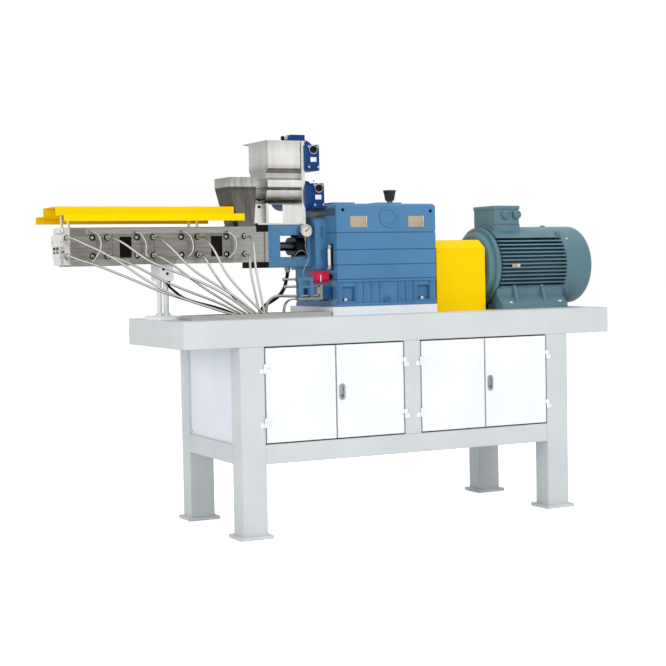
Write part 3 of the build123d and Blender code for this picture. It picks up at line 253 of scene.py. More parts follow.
def steel(name, down, level, up, roughness, streak=(25, 25, 1), grain_mm=40, depth=0.5, left_shade=0.0,
          edge_mm=0.6, painted_bands=None):
    """Brushed metal: three hex colours of painted reflection, and streaks that darken it by depth.

    Painted bands are two heights in millimetres and the painted reflection and shade between
    them. Left shade is the painted shade on faces turned to the left.
    """
    made, shader = surface(name, level, roughness, 1.0)
    tree = made.node_tree
    where = add(tree, "ShaderNodeTexCoord")
    parts = add(tree, "ShaderNodeSeparateXYZ", links={"Vector": where.outputs["Normal"]})
    lean = add(tree, "ShaderNodeMapRange", links={"Value": parts.outputs["Z"]}, From_Min=-1.0)
    # Painted reflection: dark where a face leans down, light where it leans up.
    graded = add(
        tree, "ShaderNodeValToRGB", links={"Fac": lean.outputs["Result"]},
        stops=((0.1, down), (0.42, level), (0.58, level), (0.9, up)),
    )
    painted_reflection = graded.outputs["Color"]
    # Painted bands of reflection and shade, by height.
    if painted_bands:
        low, high, shades = painted_bands
        place = add(tree, "ShaderNodeSeparateXYZ", links={"Vector": where.outputs["Object"]})
        rise = add(
            tree, "ShaderNodeMapRange", links={"Value": place.outputs["Z"]},
            From_Min=low * MM, From_Max=high * MM,
        )
        banded = add(tree, "ShaderNodeValToRGB", links={"Fac": rise.outputs["Result"]}, stops=shades)
        pair = {COLOUR_A: painted_reflection, COLOUR_B: banded.outputs["Color"]}
        painted_reflection = add(tree, "ShaderNodeMix", MULTIPLY, pair, Factor=1.0).outputs[COLOUR_OUT]
    streaks = noise_on(tree, grain_mm, detail=5.0, stretch=streak)
    shade = add(
        tree, "ShaderNodeMapRange", links={"Value": streaks},
        From_Min=STREAK_SPAN[0], From_Max=STREAK_SPAN[1], To_Min=1 - depth, To_Max=1.0,
    )
    # Faces turned to the left are darkened: painted shade.
    left_shading = add(
        tree, "ShaderNodeMapRange", links={"Value": parts.outputs["X"]},
        From_Min=LEFT_SPAN[0], From_Max=LEFT_SPAN[1], To_Min=1 - left_shade, To_Max=1.0,
    )
    both = add(
        tree, "ShaderNodeMath", {"operation": "MULTIPLY"},
        {0: shade.outputs["Result"], 1: left_shading.outputs["Result"]},
    )
    pair = {COLOUR_A: painted_reflection, COLOUR_B: both.outputs["Value"]}
    shaded = add(tree, "ShaderNodeMix", MULTIPLY, pair, Factor=1.0)
    tree.links.new(shaded.outputs[COLOUR_OUT], shader.inputs["Base Color"])
    vary(made, shader, streaks, roughness - SMOOTHER, roughness + ROUGHER)
    relief(made, shader, streaks, SKIN_MM, STREAK_BUMP, edge_mm)
    return made


feeder_painted_bands = (1153, 1375, (
    (0.0, "#77756F"), (0.04, "#C9C7C2"), (0.23, "#E6E4E0"), (0.25, "#6B6964"),
    (0.265, "#F4F3EF"), (0.36, "#FFFFFF"), (0.375, "#D4D2CD"), (0.54, "#C9C7C2"),
    (0.57, "#DAD8D3"), (0.64, "#F7F6F3"), (0.8, "#FFFFFF"), (1.0, "#E2E1DC"),
))
funnel_painted_bands = (1071, 1245, (
    (0.0, "#9A9893"), (0.7, "#8A8883"), (0.79, "#6B6964"), (0.815, "#F2F1ED"), (1.0, "#D9D8D3"),
))
# Polished sheet: painted reflection brightens its faces, and painted shade darkens the recess and the
# faces turned left.
feeder_steel = steel(
    "stainless_sheet_polished", "#B5B3AE", "#FBFBF9", "#FFFFFF", 0.24,
    streak=(3, 3, 0.6), grain_mm=110, depth=0.2, left_shade=0.45, painted_bands=feeder_painted_bands,
)
# The same sheet on the stand is plain and has no bands.
stand_steel = steel(
    "stainless_sheet_stand", "#6B6964", "#EDECE8", "#FBFBF8", 0.24,
    streak=(3, 3, 0.6), grain_mm=110, depth=0.15,
)
# The funnel is duller: a painted highlight on the collar over a painted dark band, and a cone painted
# darker, most where it faces left.
funnel_steel = steel(
    "stainless_funnel_dull", "#5E5C58", "#E0DFDB", "#F2F1ED", 0.3,
    streak=(6, 6, 1), grain_mm=70, depth=0.4, left_shade=0.35, painted_bands=funnel_painted_bands,
)
# Tray and spout are brushed lengthwise, which makes them look long.
stainless = steel(
    "stainless_sheet_brushed", "#77756F", "#C4C3BE", "#E2E1DC", 0.3, streak=(1, 30, 30), depth=0.2
)
# The ground barrel is mid grey with long faint grinding marks, and a little painted shade where it faces
# left.
barrel_steel = steel(
    "steel_ground_barrel", "#6C6A66", "#9C9A95", "#C9C8C3", 0.34,
    streak=(1, 8, 8), grain_mm=70, depth=0.32, left_shade=0.1,
)
# The strips over the cooling channels are a shade lighter than the barrel.
strip_steel = steel(
    "steel_cover_strip", "#8A8883", "#B6B5B0", "#E4E3DF", 0.3,
    streak=(1, 14, 14), grain_mm=60, depth=0.22,
)
# Machined screws, nuts and the die catch the most light.
bright_steel = steel("steel_bright", "#8F8D89", "#E2E1DD", "#F4F4F1", 0.22, depth=0.12)
# A painted highlight on top and painted shade underneath show that drawn pipe is round.
pipe_steel = steel(
    "steel_drawn_pipe", "#4F4D4A", "#A19F9A", "#F3F2EE", 0.24, streak=(1, 20, 20), depth=0.15
)
# Oiled shafts are nearly black, with a painted highlight along the top.
shaft_steel = steel(
    "steel_oiled_shaft", "#1A1918", "#5A5854", "#C9C7C2", 0.22, streak=(30, 30, 1), depth=0.25
)
# Bright posts almost vanish before the white background.
post_steel = steel("steel_bright_post", "#B9B8B4", "#F0F0ED", "#FBFBF9", 0.25, depth=0.08)
# Polished loops get a painted white reflection in the middle, painted grey on top and painted dark
# underneath.
loop_steel = steel(
    "steel_polished_loop", "#55534F", "#F4F3F0", "#B4B3AF", 0.22, depth=0.0, edge_mm=0
)
# Satin chrome is the cool grey of latches and of the gauge's case.
chrome = steel("chrome_satin", "#8A8C90", "#C4C6C9", "#E9EAEB", 0.18, depth=0.1)
# Brass gives a touch of yellow at stems and nipples.
brass = steel("brass_turned", "#7A5C22", "#B98F45", "#E0C078", 0.28, depth=0.12)
print("metals ready")

# %% [markdown]
# The dark pieces are told apart by their skin: cast iron with a film of oil, moulded plastic
# with a fine spark finish, matt rubber, and the heat-proof coat of the blocks let into the
# barrel, which is as dull as soot. The small plates, the dial and the caps follow.

# %% Dark and small finishes
# Black as dull as soot, so that the blocks look like windows in the barrel.
heater_dark = paint(
    "heat_proof_black", "#12110F", "#1A1815", 0.6, peel_mm=1.5, peel=0.2, edge_mm=1, gloss=0.06
)
# Moulded caps and glands have a faint sheen.
black_plastic = paint(
    "abs_black_moulded", "#121213", "#181819", 0.42, peel_mm=0.8, peel=0.15, edge_mm=1, gloss=0.12
)
# A film of oil keeps black iron round to the eye.
oiled_iron = paint("cast_iron_oiled", "#0D0E10", "#141619", 0.32, peel_mm=2, peel=0.3, gloss=0.15)
# Matt rubber of the cable and the drain hose.
black_rubber = paint(
    "rubber_black", "#0C0C0C", "#131313", 0.6, peel_mm=1.2, peel=0.2, edge_mm=0, gloss=0.1
)
# The breather is dark grey, lighter than the black pieces.
breather_grey = paint(
    "breather_dark_grey", "#3A3A39", "#2B2B2A", 0.35, peel_mm=1.5, peel=0.15, edge_mm=1, gloss=0.2
)
# The level tube is milky and smooth enough to shine.
level_tube = paint("level_tube_white", "#EDEFEF", "#E4E7E8", 0.2, edge_mm=0)
# Warm tan plates lie on the cold blue.
plate_tan = paint("plate_anodised_tan", "#B4A48B", "#A99A82", 0.35, peel_mm=1.2)
# White plates and marks on dark paint.
plate_white = paint("plate_printed_white", "#EDEFF0", "#E6E9EB", 0.35, peel_mm=1.2)
# A dull green plate over the blue.
olive_plate = paint("plate_dull_olive", "#3F5F6C", "#35525C", 0.35, peel_mm=2)
# A cream dial lets dark marks stand out.
dial_cream = paint("dial_enamel_cream", "#DAD6CC", "#D3CFC5", 0.3, edge_mm=0)
# Beige nylon of the gland's body.
nylon_beige = paint("nylon_beige", "#CFC9B8", "#C5BFAE", 0.4, peel_mm=1)
# A soft red dot on the motor.
cap_red = paint("cap_soft_red", "#C0273A", "#B22235", 0.4, peel_mm=1)
print("dark finishes ready")

# %% [markdown]
# Each carried solid now gets its finish in its own slot. Its mesh and place stay as they are.

# %% Finishes of the carried solids
finish_of = {
    powder_grey: "deck legs lower_rails middle_posts cabinet_floor",
    door_white: "door_1 door_2 door_3 door_4 door_hinges",
    panel_white: "rear_panels side_panels",
    chrome: "latch_left latch_right pressure_gauge",
    stainless: "hose_tray feeder_outlet",
    feeder_steel: "feeder_hopper",
    stand_steel: "feeder_stand",
    funnel_steel: "feed_hopper",
    post_steel: "cover_posts",
    barrel_steel: "barrel_body",
    strip_steel: "jackets feed_module",
    pipe_steel: "lubrication_pipes barrel_fittings",
    loop_steel: "water_loops",
    bright_steel: "die_head",
    heater_dark: "barrel_blocks",
    enamel_blue: "gearbox_housing lantern lubrication_manifold",
    enamel_royal: "feeder_gearboxes feeder_motors",
    enamel_teal: "motor_frame motor_feet motor_fan_cover motor_terminal_box",
    enamel_yellow: "barrel_cover coupling_guard",
    enamel_white: "gearbox_plinth barrel_support",
    enamel_red: "oil_filter",
    breather_grey: "breather",
    oiled_iron: "shaft_seal",
    shaft_steel: "screw_shaft_front screw_shaft_rear",
    level_tube: "sight_glass",
}
for finish, names in finish_of.items():
    for name in names.split():
        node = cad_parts[name]
        node.data.materials.clear()
        node.data.materials.append(finish)
print("dressed", sum(len(names.split()) for names in finish_of.values()), "nodes")

# %% [markdown]
# The hoses are steel braid over a thin inner hose. Each keeps the points of its solid tube
# and becomes one smooth curve, which hangs between its fitting on the barrel and the tray on
# the deck. The braid is two crossing sets of fine bands, fitted to each hose's own length, so
# they lie 0.6 to 1.8 mm apart along it and closest on the short hoses.

# %% Braid finish
LAYS_ALONG = 150
LAYS_ROUND = 6
SLANT = 0.6
WIRE_MM, WIRE_BUMP = 0.4, 0.45
WIRE_ROUGHNESS = (0.24, 0.44)
# Crossed wires break the light, so a hose glitters; its white middle, grey top and dark underside are
# painted reflection and shade.
braid = steel("hose_braid_steel", "#3E3D3A", "#ECEBE8", "#9A9995", 0.3, depth=0.0, edge_mm=0)
braid_shader = braid.node_tree.nodes["Principled BSDF"]
tree = braid.node_tree
way = add(tree, "ShaderNodeTexCoord")
strands = []
for slant in (SLANT, -SLANT):
    lay = add(
        tree, "ShaderNodeMapping", links={"Vector": way.outputs["UV"]},
        Scale=(LAYS_ALONG, LAYS_ROUND, 1), Rotation=(0, 0, slant),
    )
    wave = add(
        tree, "ShaderNodeTexWave", {"wave_type": "BANDS"}, {"Vector": lay.outputs["Vector"]}, Scale=1.0
    )
    strands.append(wave.outputs["Fac"])
crossing = add(tree, "ShaderNodeMath", {"operation": "MAXIMUM"}, {0: strands[0], 1: strands[1]})
relief(braid, braid_shader, crossing.outputs["Value"], WIRE_MM, WIRE_BUMP)
vary(braid, braid_shader, crossing.outputs["Value"], *WIRE_ROUGHNESS)
print("braid ready")

# %% Free hoses and cables
HOSE = 8
DRAIN = 13
CABLE = 9
hose_routes = {
    "hose_a_upper": [(-325, -81.5, 1037), (-325, -105.5, 1037), (-313, -133.5, 1029), (-287, -155, 1011),
                     (-244, -167, 991), (-170, -168, 948), (-101, -168, 900), (-28, -168, 856),
                     (57, -168, 820), (134, -168, 794), (209, -168, 770), (282, -168, 753)],
    "hose_a_lower": [(-325, -81.5, 975), (-325, -99, 975), (-317, -115, 970), (-297, -124, 960),
                     (-252, -125, 947), (-177, -125, 917), (-98, -125, 884), (-21, -125, 850),
                     (56, -125, 825), (133, -125, 801), (210, -125, 776), (278, -125, 753)],
    "hose_b_upper": [(-186, -81.5, 1037), (-186, -105.5, 1037), (-174, -133.5, 1029), (-150, -155, 1011),
                     (-116, -165, 982), (-72, -168, 952), (-4, -168, 925), (92, -168, 888),
                     (178, -168, 848), (247, -168, 803), (310, -168, 753)],
    "hose_b_lower": [(-186, -81.5, 975), (-186, -99, 975), (-178, -115, 970), (-158, -124, 960),
                     (-118, -125, 944), (-50, -125, 908), (23, -125, 871), (107, -125, 839),
                     (190, -125, 807), (249, -125, 777), (299, -125, 753)],
    "hose_c_upper": [(-22, -81.5, 1037), (-22, -105.5, 1037), (-15, -133, 1028), (-1, -155, 1007),
                     (24, -166, 980), (50, -168, 949), (94, -168, 913), (150, -168, 878),
                     (215, -168, 840), (276, -168, 797), (330, -168, 753)],
    "hose_c_lower": [(-22, -81.5, 975), (-22, -98.5, 975), (-15, -115, 969), (2, -124, 956),
                     (34, -125, 935), (72, -125, 906), (137, -125, 859), (196, -125, 823),
                     (257, -125, 785), (317, -125, 753)],
    "hose_d_upper": [(142, -81.5, 1037), (142, -105.5, 1037), (147, -133, 1027), (157, -154, 1003),
                     (172, -166, 970), (186, -168, 936), (211, -168, 897), (256, -168, 847),
                     (305, -168, 798), (352, -168, 753)],
    "hose_d_lower": [(142, -81.5, 975), (142, -98, 975), (145.5, -114, 968), (152, -123, 950),
                     (166, -125, 924), (186, -125, 895), (220, -125, 851), (275, -125, 797),
                     (334, -125, 753)],
    "hose_e_upper": [(318, -81.5, 1037), (318, -105, 1037), (318.5, -130, 1026), (319, -144, 999),
                     (320, -147, 965), (323, -147, 922), (332, -147, 874), (344.5, -147, 811),
                     (355, -147, 753)],
    "hose_e_lower": [(318, -81.5, 975), (318, -91, 975), (318, -101.5, 970.5), (317.5, -109, 962),
                     (317, -112, 950), (317.5, -112, 928), (322, -112, 895), (331, -112, 851),
                     (342, -112, 800), (352, -112, 753)],
}
drain_route = [(492, -45, 924), (492, -45, 901), (482, -56, 882), (468, -74, 859), (451, -88, 838),
               (424, -95, 816), (393, -96, 801), (364, -96, 782), (350, -96, 753)]
cable_route = [(46, -17, 885), (46, -17, 873), (52, -21, 862), (66, -30, 848), (88, -47, 826),
               (127, -63, 810), (180, -74, 796), (238, -86, 778), (290, -91, 753)]


def smooth_line(name, route):
    """A curve of one open NURBS spline with a route's points, given in millimetres."""
    curve = bpy.data.curves.new(name, "CURVE")
    curve.dimensions = "3D"
    line = curve.splines.new("NURBS")
    line.points.add(len(route) - 1)
    for point, place in zip(line.points, route):
        point.co = (*at(*place), 1)
    line.order_u = 3
    line.use_endpoint_u = True
    line.resolution_u = 8
    return curve


def points_along(name, curve):
    """The points of a curve that has no thickness yet, in order."""
    bare = bpy.data.objects.new(name + "_bare", curve)
    mesh = bpy.data.meshes.new_from_object(bare)
    places = [vertex.co.copy() for vertex in mesh.vertices]
    bpy.data.objects.remove(bare)
    bpy.data.meshes.remove(mesh)
    return places


def thicken(curve, diameter_mm, finish, name):
    """Gives a curve its thickness and finish, and lets it ride on the machine."""
    curve.bevel_depth = diameter_mm * MM / 2
    curve.bevel_resolution = 4
    curve.use_fill_caps = True
    made = bpy.data.objects.new(name, curve)
    scene.collection.objects.link(made)
    curve.materials.append(finish)
    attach(made, "machine")
    return made


def hose(name, route, diameter_mm, finish):
    """A smooth cord that stands for its solid tube, and its length in metres."""
    curve = smooth_line(name, route)
    places = points_along(name, curve)
    length = sum((b - a).length for a, b in zip(places, places[1:]))
    made = thicken(curve, diameter_mm, finish, name + "_line")
    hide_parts(name)
    return length


for name, route in hose_routes.items():
    print(name, round(hose(name, route, HOSE, braid), 3))
print("drain", round(hose("drain_hose", drain_route, DRAIN, black_rubber), 3))
print("cable", round(hose("support_cable", cable_route, CABLE, black_rubber), 3))

# %% [markdown]
# Small parts come in three kinds: turned ones, hexagons and flat plates. A turned part is a
# half outline spun round its axis, a hexagon is a six-sided cone primitive with its rim
# broken, and a plate is a cube that is scaled and bevelled. Each kind is one function that
# adds to a mesh being built, so that a row of bolts becomes a single piece.

# %% Workshop for small parts
HALF_TURN = math.pi / 2
TURN_TO = {
    "x": Matrix.Rotation(HALF_TURN, 4, "Y"), "-x": Matrix.Rotation(-HALF_TURN, 4, "Y"),
    "y": Matrix.Rotation(-HALF_TURN, 4, "X"), "-y": Matrix.Rotation(HALF_TURN, 4, "X"),
    "z": Matrix.Identity(4), "-z": Matrix.Rotation(math.pi, 4, "X"),
}
BEVELLED = {"segments": 2, "affect": "EDGES", "profile": 0.5, "material": -1}
RIM_SHARE = 0.06
NEAR_TOP = 0.99
SAME_PLACE = 1e-6
WASHER_SHARE, WASHER_HEIGHT = 0.62, 1.4
SHARP_ABOVE = 0.6


def put(work, verts, place, direction):
    """Turns new vertices from upright to a direction and moves them to a place."""
    bmesh.ops.transform(work, matrix=Matrix.Translation(at(*place)) @ TURN_TO[direction], verts=verts)


def edges_at(verts):
    """The edges that meet at some vertices, each of them once."""
    return list(dict.fromkeys(edge for vertex in verts for edge in vertex.link_edges))


def turned(work, place, direction, outline, steps=20):
    """A turned part, from pairs of a radius and a height along its axis."""
    known = set(work.verts)
    verts = [work.verts.new((radius * MM, 0, height * MM)) for radius, height in outline]
    edges = [work.edges.new(pair) for pair in zip(verts, verts[1:])]
    bmesh.ops.spin(work, geom=verts + edges, cent=(0, 0, 0), axis=(0, 0, 1), angle=2 * math.pi,
                   steps=steps, use_merge=True)
    fresh = [v for v in work.verts if v not in known]
    bmesh.ops.remove_doubles(work, verts=fresh, dist=SAME_PLACE)
    put(work, [v for v in work.verts if v not in known], place, direction)


def hexagon(work, place, direction, across, height):
    """A hexagon with a broken rim, measured across its flats."""
    corner = across / math.sqrt(3) * MM
    tall = height * MM
    made = bmesh.ops.create_cone(
        work, cap_ends=True, segments=6, radius1=corner, radius2=corner, depth=tall
    )
    bmesh.ops.translate(work, vec=(0, 0, tall / 2), verts=made["verts"])
    top = [e for e in edges_at(made["verts"]) if min(v.co.z for v in e.verts) > tall * NEAR_TOP]
    known = set(work.verts) - set(made["verts"])
    bmesh.ops.bevel(work, geom=top, offset=across * RIM_SHARE * MM, **BEVELLED)
    put(work, [v for v in work.verts if v not in known], place, direction)


def plate(work, low, high, edge=0.4):
    """A flat or square part between two corners, with broken edges."""
    known = set(work.verts)
    made = bmesh.ops.create_cube(work, size=1)
    a, b = at(*low), at(*high)
    bmesh.ops.scale(work, vec=[abs(n) for n in b - a], verts=made["verts"])
    bmesh.ops.translate(work, vec=(a + b) / 2, verts=made["verts"])
    bmesh.ops.bevel(work, geom=edges_at(made["verts"]), offset=edge * MM, **BEVELLED)
    return [v for v in work.verts if v not in known]


def screw(work, place, direction, across=13, height=6):
    """A hexagon head on its washer."""
    wide, thick = across * WASHER_SHARE, WASHER_HEIGHT
    turned(work, place, direction, [(0, 0), (wide, 0), (wide, 1), (wide - 0.5, thick), (0, thick)])
    x, y, z = place
    lift = TURN_TO[direction] @ Vector((0, 0, thick))
    hexagon(work, (x + lift.x, y + lift.y, z + lift.z), direction, across, height)


def socket_screw(work, place, direction, radius=5, height=4):
    """A round head with a sunk middle."""
    sunk, floor_height, edge = radius * 0.5, height * 0.4, 0.6
    outline = [(0, floor_height), (sunk, floor_height), (sunk, height), (radius - edge, height),
               (radius, height - edge), (radius, 0), (0, 0)]
    turned(work, place, direction, outline, steps=16)


def finish_piece(work, name, finish, body="machine"):
    """Closes a mesh, links it under its name and lets it ride on its body."""
    bmesh.ops.recalc_face_normals(work, faces=work.faces)
    mesh = bpy.data.meshes.new(name)
    work.to_mesh(mesh)
    work.free()
    mesh.materials.append(finish)
    made = bpy.data.objects.new(name, mesh)
    scene.collection.objects.link(made)
    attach(made, body)
    print(name, len(mesh.polygons), "faces")
    return made


def round_sides(piece):
    """Shades the round faces of a piece smoothly and keeps its corners."""
    for face in piece.data.polygons:
        face.use_smooth = True
    piece.data.set_sharp_from_angle(angle=SHARP_ABOVE)


def small_parts(name, finish, recipe, body="machine"):
    """Runs a recipe on an empty mesh and finishes what it made."""
    work = bmesh.new()
    recipe(work)
    piece = finish_piece(work, name, finish, body)
    round_sides(piece)
    return piece


# %% [markdown]
# Along the barrel, every second pocket holds a clamp bolt and the others a hose fitting. The
# bolts are socket screws, and each fitting gets a hexagon nut and a crimped sleeve that grips
# its hose. Black rings line the pockets as painted shade.

# %% Barrel fittings and bolts
BARREL_FRONT = edges_of("barrel_body")[0].y
FITTING_X = (-325, -186, -22, 142, 318)
BOLT_X = (-237, -80, 81, 249)
FITTING_ROWS = (1037, 975)
POCKET = 9


def barrel_nuts(work):
    sleeve = [(0, 0), (5.4, 0), (5.9, 1), (5.9, 5), (5.3, 6), (5.9, 7), (5.9, 13), (5.2, 15), (0, 15)]
    for x in FITTING_X:
        for z in FITTING_ROWS:
            hexagon(work, (x, BARREL_FRONT - 3, z), "-y", 15, 7)
            turned(work, (x, BARREL_FRONT - 15, z), "-y", sleeve)


def barrel_bolts(work):
    for x in BOLT_X:
        for z in FITTING_ROWS:
            socket_screw(work, (x, BARREL_FRONT + 4.5, z), "-y", 5.4, 3.6)


def pocket_shade_rings(work):
    # Black rings lining the pockets are painted shade.
    shade_lining = [(6.6, 0), (10.9, 0), (10.9, POCKET - 0.6), (9.9, POCKET - 0.2), (6.6, 1.5), (6.6, 0)]
    flat_shade_ring = [(6.2, 0), (9.6, 0), (9.6, 1.4), (6.2, 1.4), (6.2, 0)]
    for x in FITTING_X[1:] + BOLT_X:
        for z in FITTING_ROWS:
            turned(work, (x, BARREL_FRONT + POCKET, z), "-y", shade_lining)
    for z in FITTING_ROWS:
        turned(work, (FITTING_X[0], BARREL_FRONT, z), "-y", flat_shade_ring)


small_parts("barrel_nuts", bright_steel, barrel_nuts)
small_parts("barrel_bolts", bright_steel, barrel_bolts)
small_parts("pocket_shade_rings", heater_dark, pocket_shade_rings)

# %% [markdown]
# The die end is a bright ground plate. Two black screws hold its clamp bar, two more sit
# beside the lip, and each outlet shows the tip of a screw in its mouth, which a dark plate of
# painted shade lines. A small bright block carries the cover's left posts.

# %% Die end
DIE_LEFT = -334
BAR_LEFT = -342
LIP_LEFT = -345
MOUTH_BACK = LIP_LEFT + 12


def die_screws(work):
    for y in (-50, 50):
        socket_screw(work, (BAR_LEFT + 4, y, 1023.5), "-x", 3.9, 3.5)
    for y in (-54, 54):
        socket_screw(work, (DIE_LEFT, y, 990), "-x", 3.5, 2)
    socket_screw(work, (DIE_LEFT - 4, -33, 1062), "-x", 3, 1.2)


def die_mouth_shade(work):
    # Dark plates in the outlets are painted shade.
    for y0, y1 in ((-33.8, -4.2), (4.2, 33.8)):
        plate(work, (MOUTH_BACK, y0, 984.8), (MOUTH_BACK + 3.8, y1, 1006.2), 0.2)


def screw_tips(work):
    tip = [(0, 0), (8, 0), (6.5, 3), (3.5, 8), (1.5, 10.5), (0, 11)]
    for y in (-20, 20):
        turned(work, (MOUTH_BACK, y, 993), "-x", tip)


def post_block(work):
    plate(work, (-338, -62, 1050), (-334.05, 30, 1070), 0.8)


small_parts("die_screws", black_plastic, die_screws)
small_parts("die_mouth_shade", heater_dark, die_mouth_shade)
small_parts("screw_tips", bright_steel, screw_tips)
small_parts("post_block", post_steel, post_block)

# %% [markdown]
# Under the barrel, two black screws hold the support's head, and the cable enters from below
# through a ribbed gland. A black clamp screw locks the funnel, and the drain hose leaves the
# lantern through a steel nut.

# %% Support, cable gland and drain nut


def dark_fasteners(work):
    gland = [(0, 0), (9, 0), (9, 4), (7.5, 5), (7.5, 7), (8.2, 8), (7.2, 10), (6, 12), (0, 12)]
    clamp = [(0, 0), (6, 0), (6, 5), (3, 6), (3, 12), (6, 13), (6, 17), (0, 17)]
    for x, z in ((34, 911), (20, 926)):
        socket_screw(work, (x, -45, z), "-y", 4.5, 4)
    turned(work, cable_route[0], "-z", gland)
    turned(work, (288, -52, 1071), "z", clamp)
    socket_screw(work, (404, -3, 1143), "-x", 5, 4)


def drain_nut(work):
    x, y, z = drain_route[0]
    hexagon(work, (x, y, z), "-z", 19, 8)
    turned(work, (x, y, z - 8), "-z", [(0, 0), (8.5, 0), (8.5, 9), (7.6, 10), (0, 10)])


small_parts("dark_fasteners", black_plastic, dark_fasteners)
small_parts("drain_nut", pipe_steel, drain_nut)

# %% [markdown]
# Each worm drive has a black cap in a steel ring, a blank plate and grey corner screws. The
# upper motor's terminal box ends in a beige gland with a black nut.

# %% Feeder drives
# The solid's own round caps stand 5 mm in front of its flat face.
CAP_HEIGHT = 5
DRIVE_FRONT = edges_of("feeder_gearboxes")[0].y + CAP_HEIGHT
DRIVE_CAPS = ((577, 1343), (596, 1206))
DRIVE_PLATES = ((565, 589, 1299, 1316), (581, 606, 1165, 1182))
DRIVE_SCREWS = ((559, 1281), (595, 1281), (559, 1353), (595, 1353),
                (579, 1146), (613, 1146), (579, 1217), (613, 1217))
GLAND_X, GLAND_Y, GLAND_Z = 578.5, 122, 1402
GLAND = 14


def drive_caps(work):
    outline = [(0, 4.6), (4.5, 4.6), (5.5, 6.4), (11.5, 6.4), (13.4, 5), (13.4, 0), (0, 0)]
    for x, z in DRIVE_CAPS:
        turned(work, (x, DRIVE_FRONT, z), "-y", outline, steps=28)


def drive_rings(work):
    ring = [(13.4, 0), (16.5, 0), (16, 1.6), (13.4, 1.6), (13.4, 0)]
    for x, z in DRIVE_CAPS:
        turned(work, (x, DRIVE_FRONT, z), "-y", ring, steps=28)


def drive_plates(work):
    for x0, x1, z0, z1 in DRIVE_PLATES:
        plate(work, (x0, DRIVE_FRONT - 0.8, z0), (x1, DRIVE_FRONT, z1), 0.2)


def drive_screws(work):
    for x, z in DRIVE_SCREWS:
        socket_screw(work, (x, DRIVE_FRONT, z), "-y", 4.6, 3)
    socket_screw(work, (578, -97, 1231), "-y", 3.5, 2)


def motor_gland(work):
    body = [(0, 0), (9, 0), (9, 9), (7, 11), (7, GLAND), (0, GLAND)]
    turned(work, (GLAND_X, GLAND_Y, GLAND_Z), "-x", body)


def gland_nut(work):
    hexagon(work, (GLAND_X - GLAND, GLAND_Y, GLAND_Z), "-x", 15, 9)


small_parts("drive_caps", black_plastic, drive_caps)
small_parts("drive_rings", bright_steel, drive_rings)
small_parts("drive_plates", plate_white, drive_plates)
small_parts("drive_screws", chrome, drive_screws)
small_parts("motor_gland", nylon_beige, motor_gland)
small_parts("gland_nut", black_plastic, gland_nut)

# %% [markdown]
# The gearbox carries two blank tan plates with a bright bent edge, dark screws in its lifting
# holes, foot bolts in the lower pockets and a sunk drain plug. The level tube beside it is a
# white tube between two chromed ends, on a dark back plate.

# %% Gearbox fittings
# The housing's boss stands 5 mm in front of its flat face.
BOSS_HEIGHT = 5
GEAR_FRONT = edges_of("gearbox_housing")[0].y + BOSS_HEIGHT
GEAR_LEFT = 627


def gear_plates(work):
    for x0, x1 in ((682, 745), (919, 980)):
        plate(work, (x0, GEAR_FRONT - 0.9, 1063), (x1, GEAR_FRONT, 1103), 0.3)


def gear_plate_edges(work):
    for x0 in (745, 980):
        plate(work, (x0, GEAR_FRONT - 2.4, 1062), (x0 + 4, GEAR_FRONT, 1104), 0.5)


def lifting_screws(work):
    for x, z in ((653, 1125), (1013, 1121)):
        socket_screw(work, (x, GEAR_FRONT, z), "-y", 6, 1.5)


def foot_bolts(work):
    for x in (664, 978):
        for y in (-164, 164):
            screw(work, (x, y, 800), "z", 14, 9)
    for x in (1376, 1598):
        for y in (-148, 148):
            screw(work, (x, y, 769), "z", 17, 9)


def drain_plug(work):
    head = [(0, 4), (4, 4), (4.5, 8), (7, 8), (7.5, 5), (9.5, 5)]
    ring = [(10, 8), (12, 8), (12.6, 7), (12.6, 0), (0, 0)]
    turned(work, (829, GEAR_FRONT + 6, 802), "-y", head + ring)


def end_plate(work):
    plate(work, (GEAR_LEFT - 1.5, -165, 1105), (GEAR_LEFT, 30, 1132), 0.4)


small_parts("gear_plates", plate_tan, gear_plates)
small_parts("gear_plate_edges", bright_steel, gear_plate_edges)
small_parts("lifting_screws", oiled_iron, lifting_screws)
small_parts("foot_bolts", bright_steel, foot_bolts)
small_parts("drain_plug", enamel_blue, drain_plug)
small_parts("end_plate", olive_plate, end_plate)

# %% Level tube
LEVEL_X, LEVEL_Y = 615, -137
LEVEL_LOW, LEVEL_HIGH, LEVEL_END = 915, 1002, 14
LEVEL_FRONT, LEVEL_REAR = LEVEL_Y - 8, LEVEL_Y + 8


def level_ends(work):
    for z in (LEVEL_LOW, LEVEL_HIGH - LEVEL_END):
        plate(work, (LEVEL_X - 8, LEVEL_FRONT, z), (GEAR_LEFT, LEVEL_REAR, z + LEVEL_END), 1.5)
    for z in (LEVEL_LOW + 7, LEVEL_HIGH - 7):
        hexagon(work, (LEVEL_X - 1, LEVEL_FRONT, z), "-y", 9, 3)


def level_glass(work):
    tall = LEVEL_HIGH - LEVEL_LOW - 2 * LEVEL_END
    tube = [(0, 0), (5.6, 0), (5.6, tall), (0, tall)]
    turned(work, (LEVEL_X, LEVEL_Y, LEVEL_LOW + LEVEL_END), "z", tube)


def level_back(work):
    low = (LEVEL_X + 6.2, LEVEL_FRONT, LEVEL_LOW - 3)
    plate(work, low, (GEAR_LEFT, LEVEL_REAR, LEVEL_HIGH + 3), 0.6)


ends = small_parts("level_ends", chrome, level_ends)
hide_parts("sight_glass")
small_parts("level_glass", level_tube, level_glass)
small_parts("level_back", oiled_iron, level_back)

# %% [markdown]
# The pressure gauge has a steel rim round a cream dial, with plain ticks and one dark needle.
# A thin steel pipe runs from its brass stem to the top of the lubrication block, and a second
# one bends past the window of the lantern. Both are smooth curves with the thickness of wire.

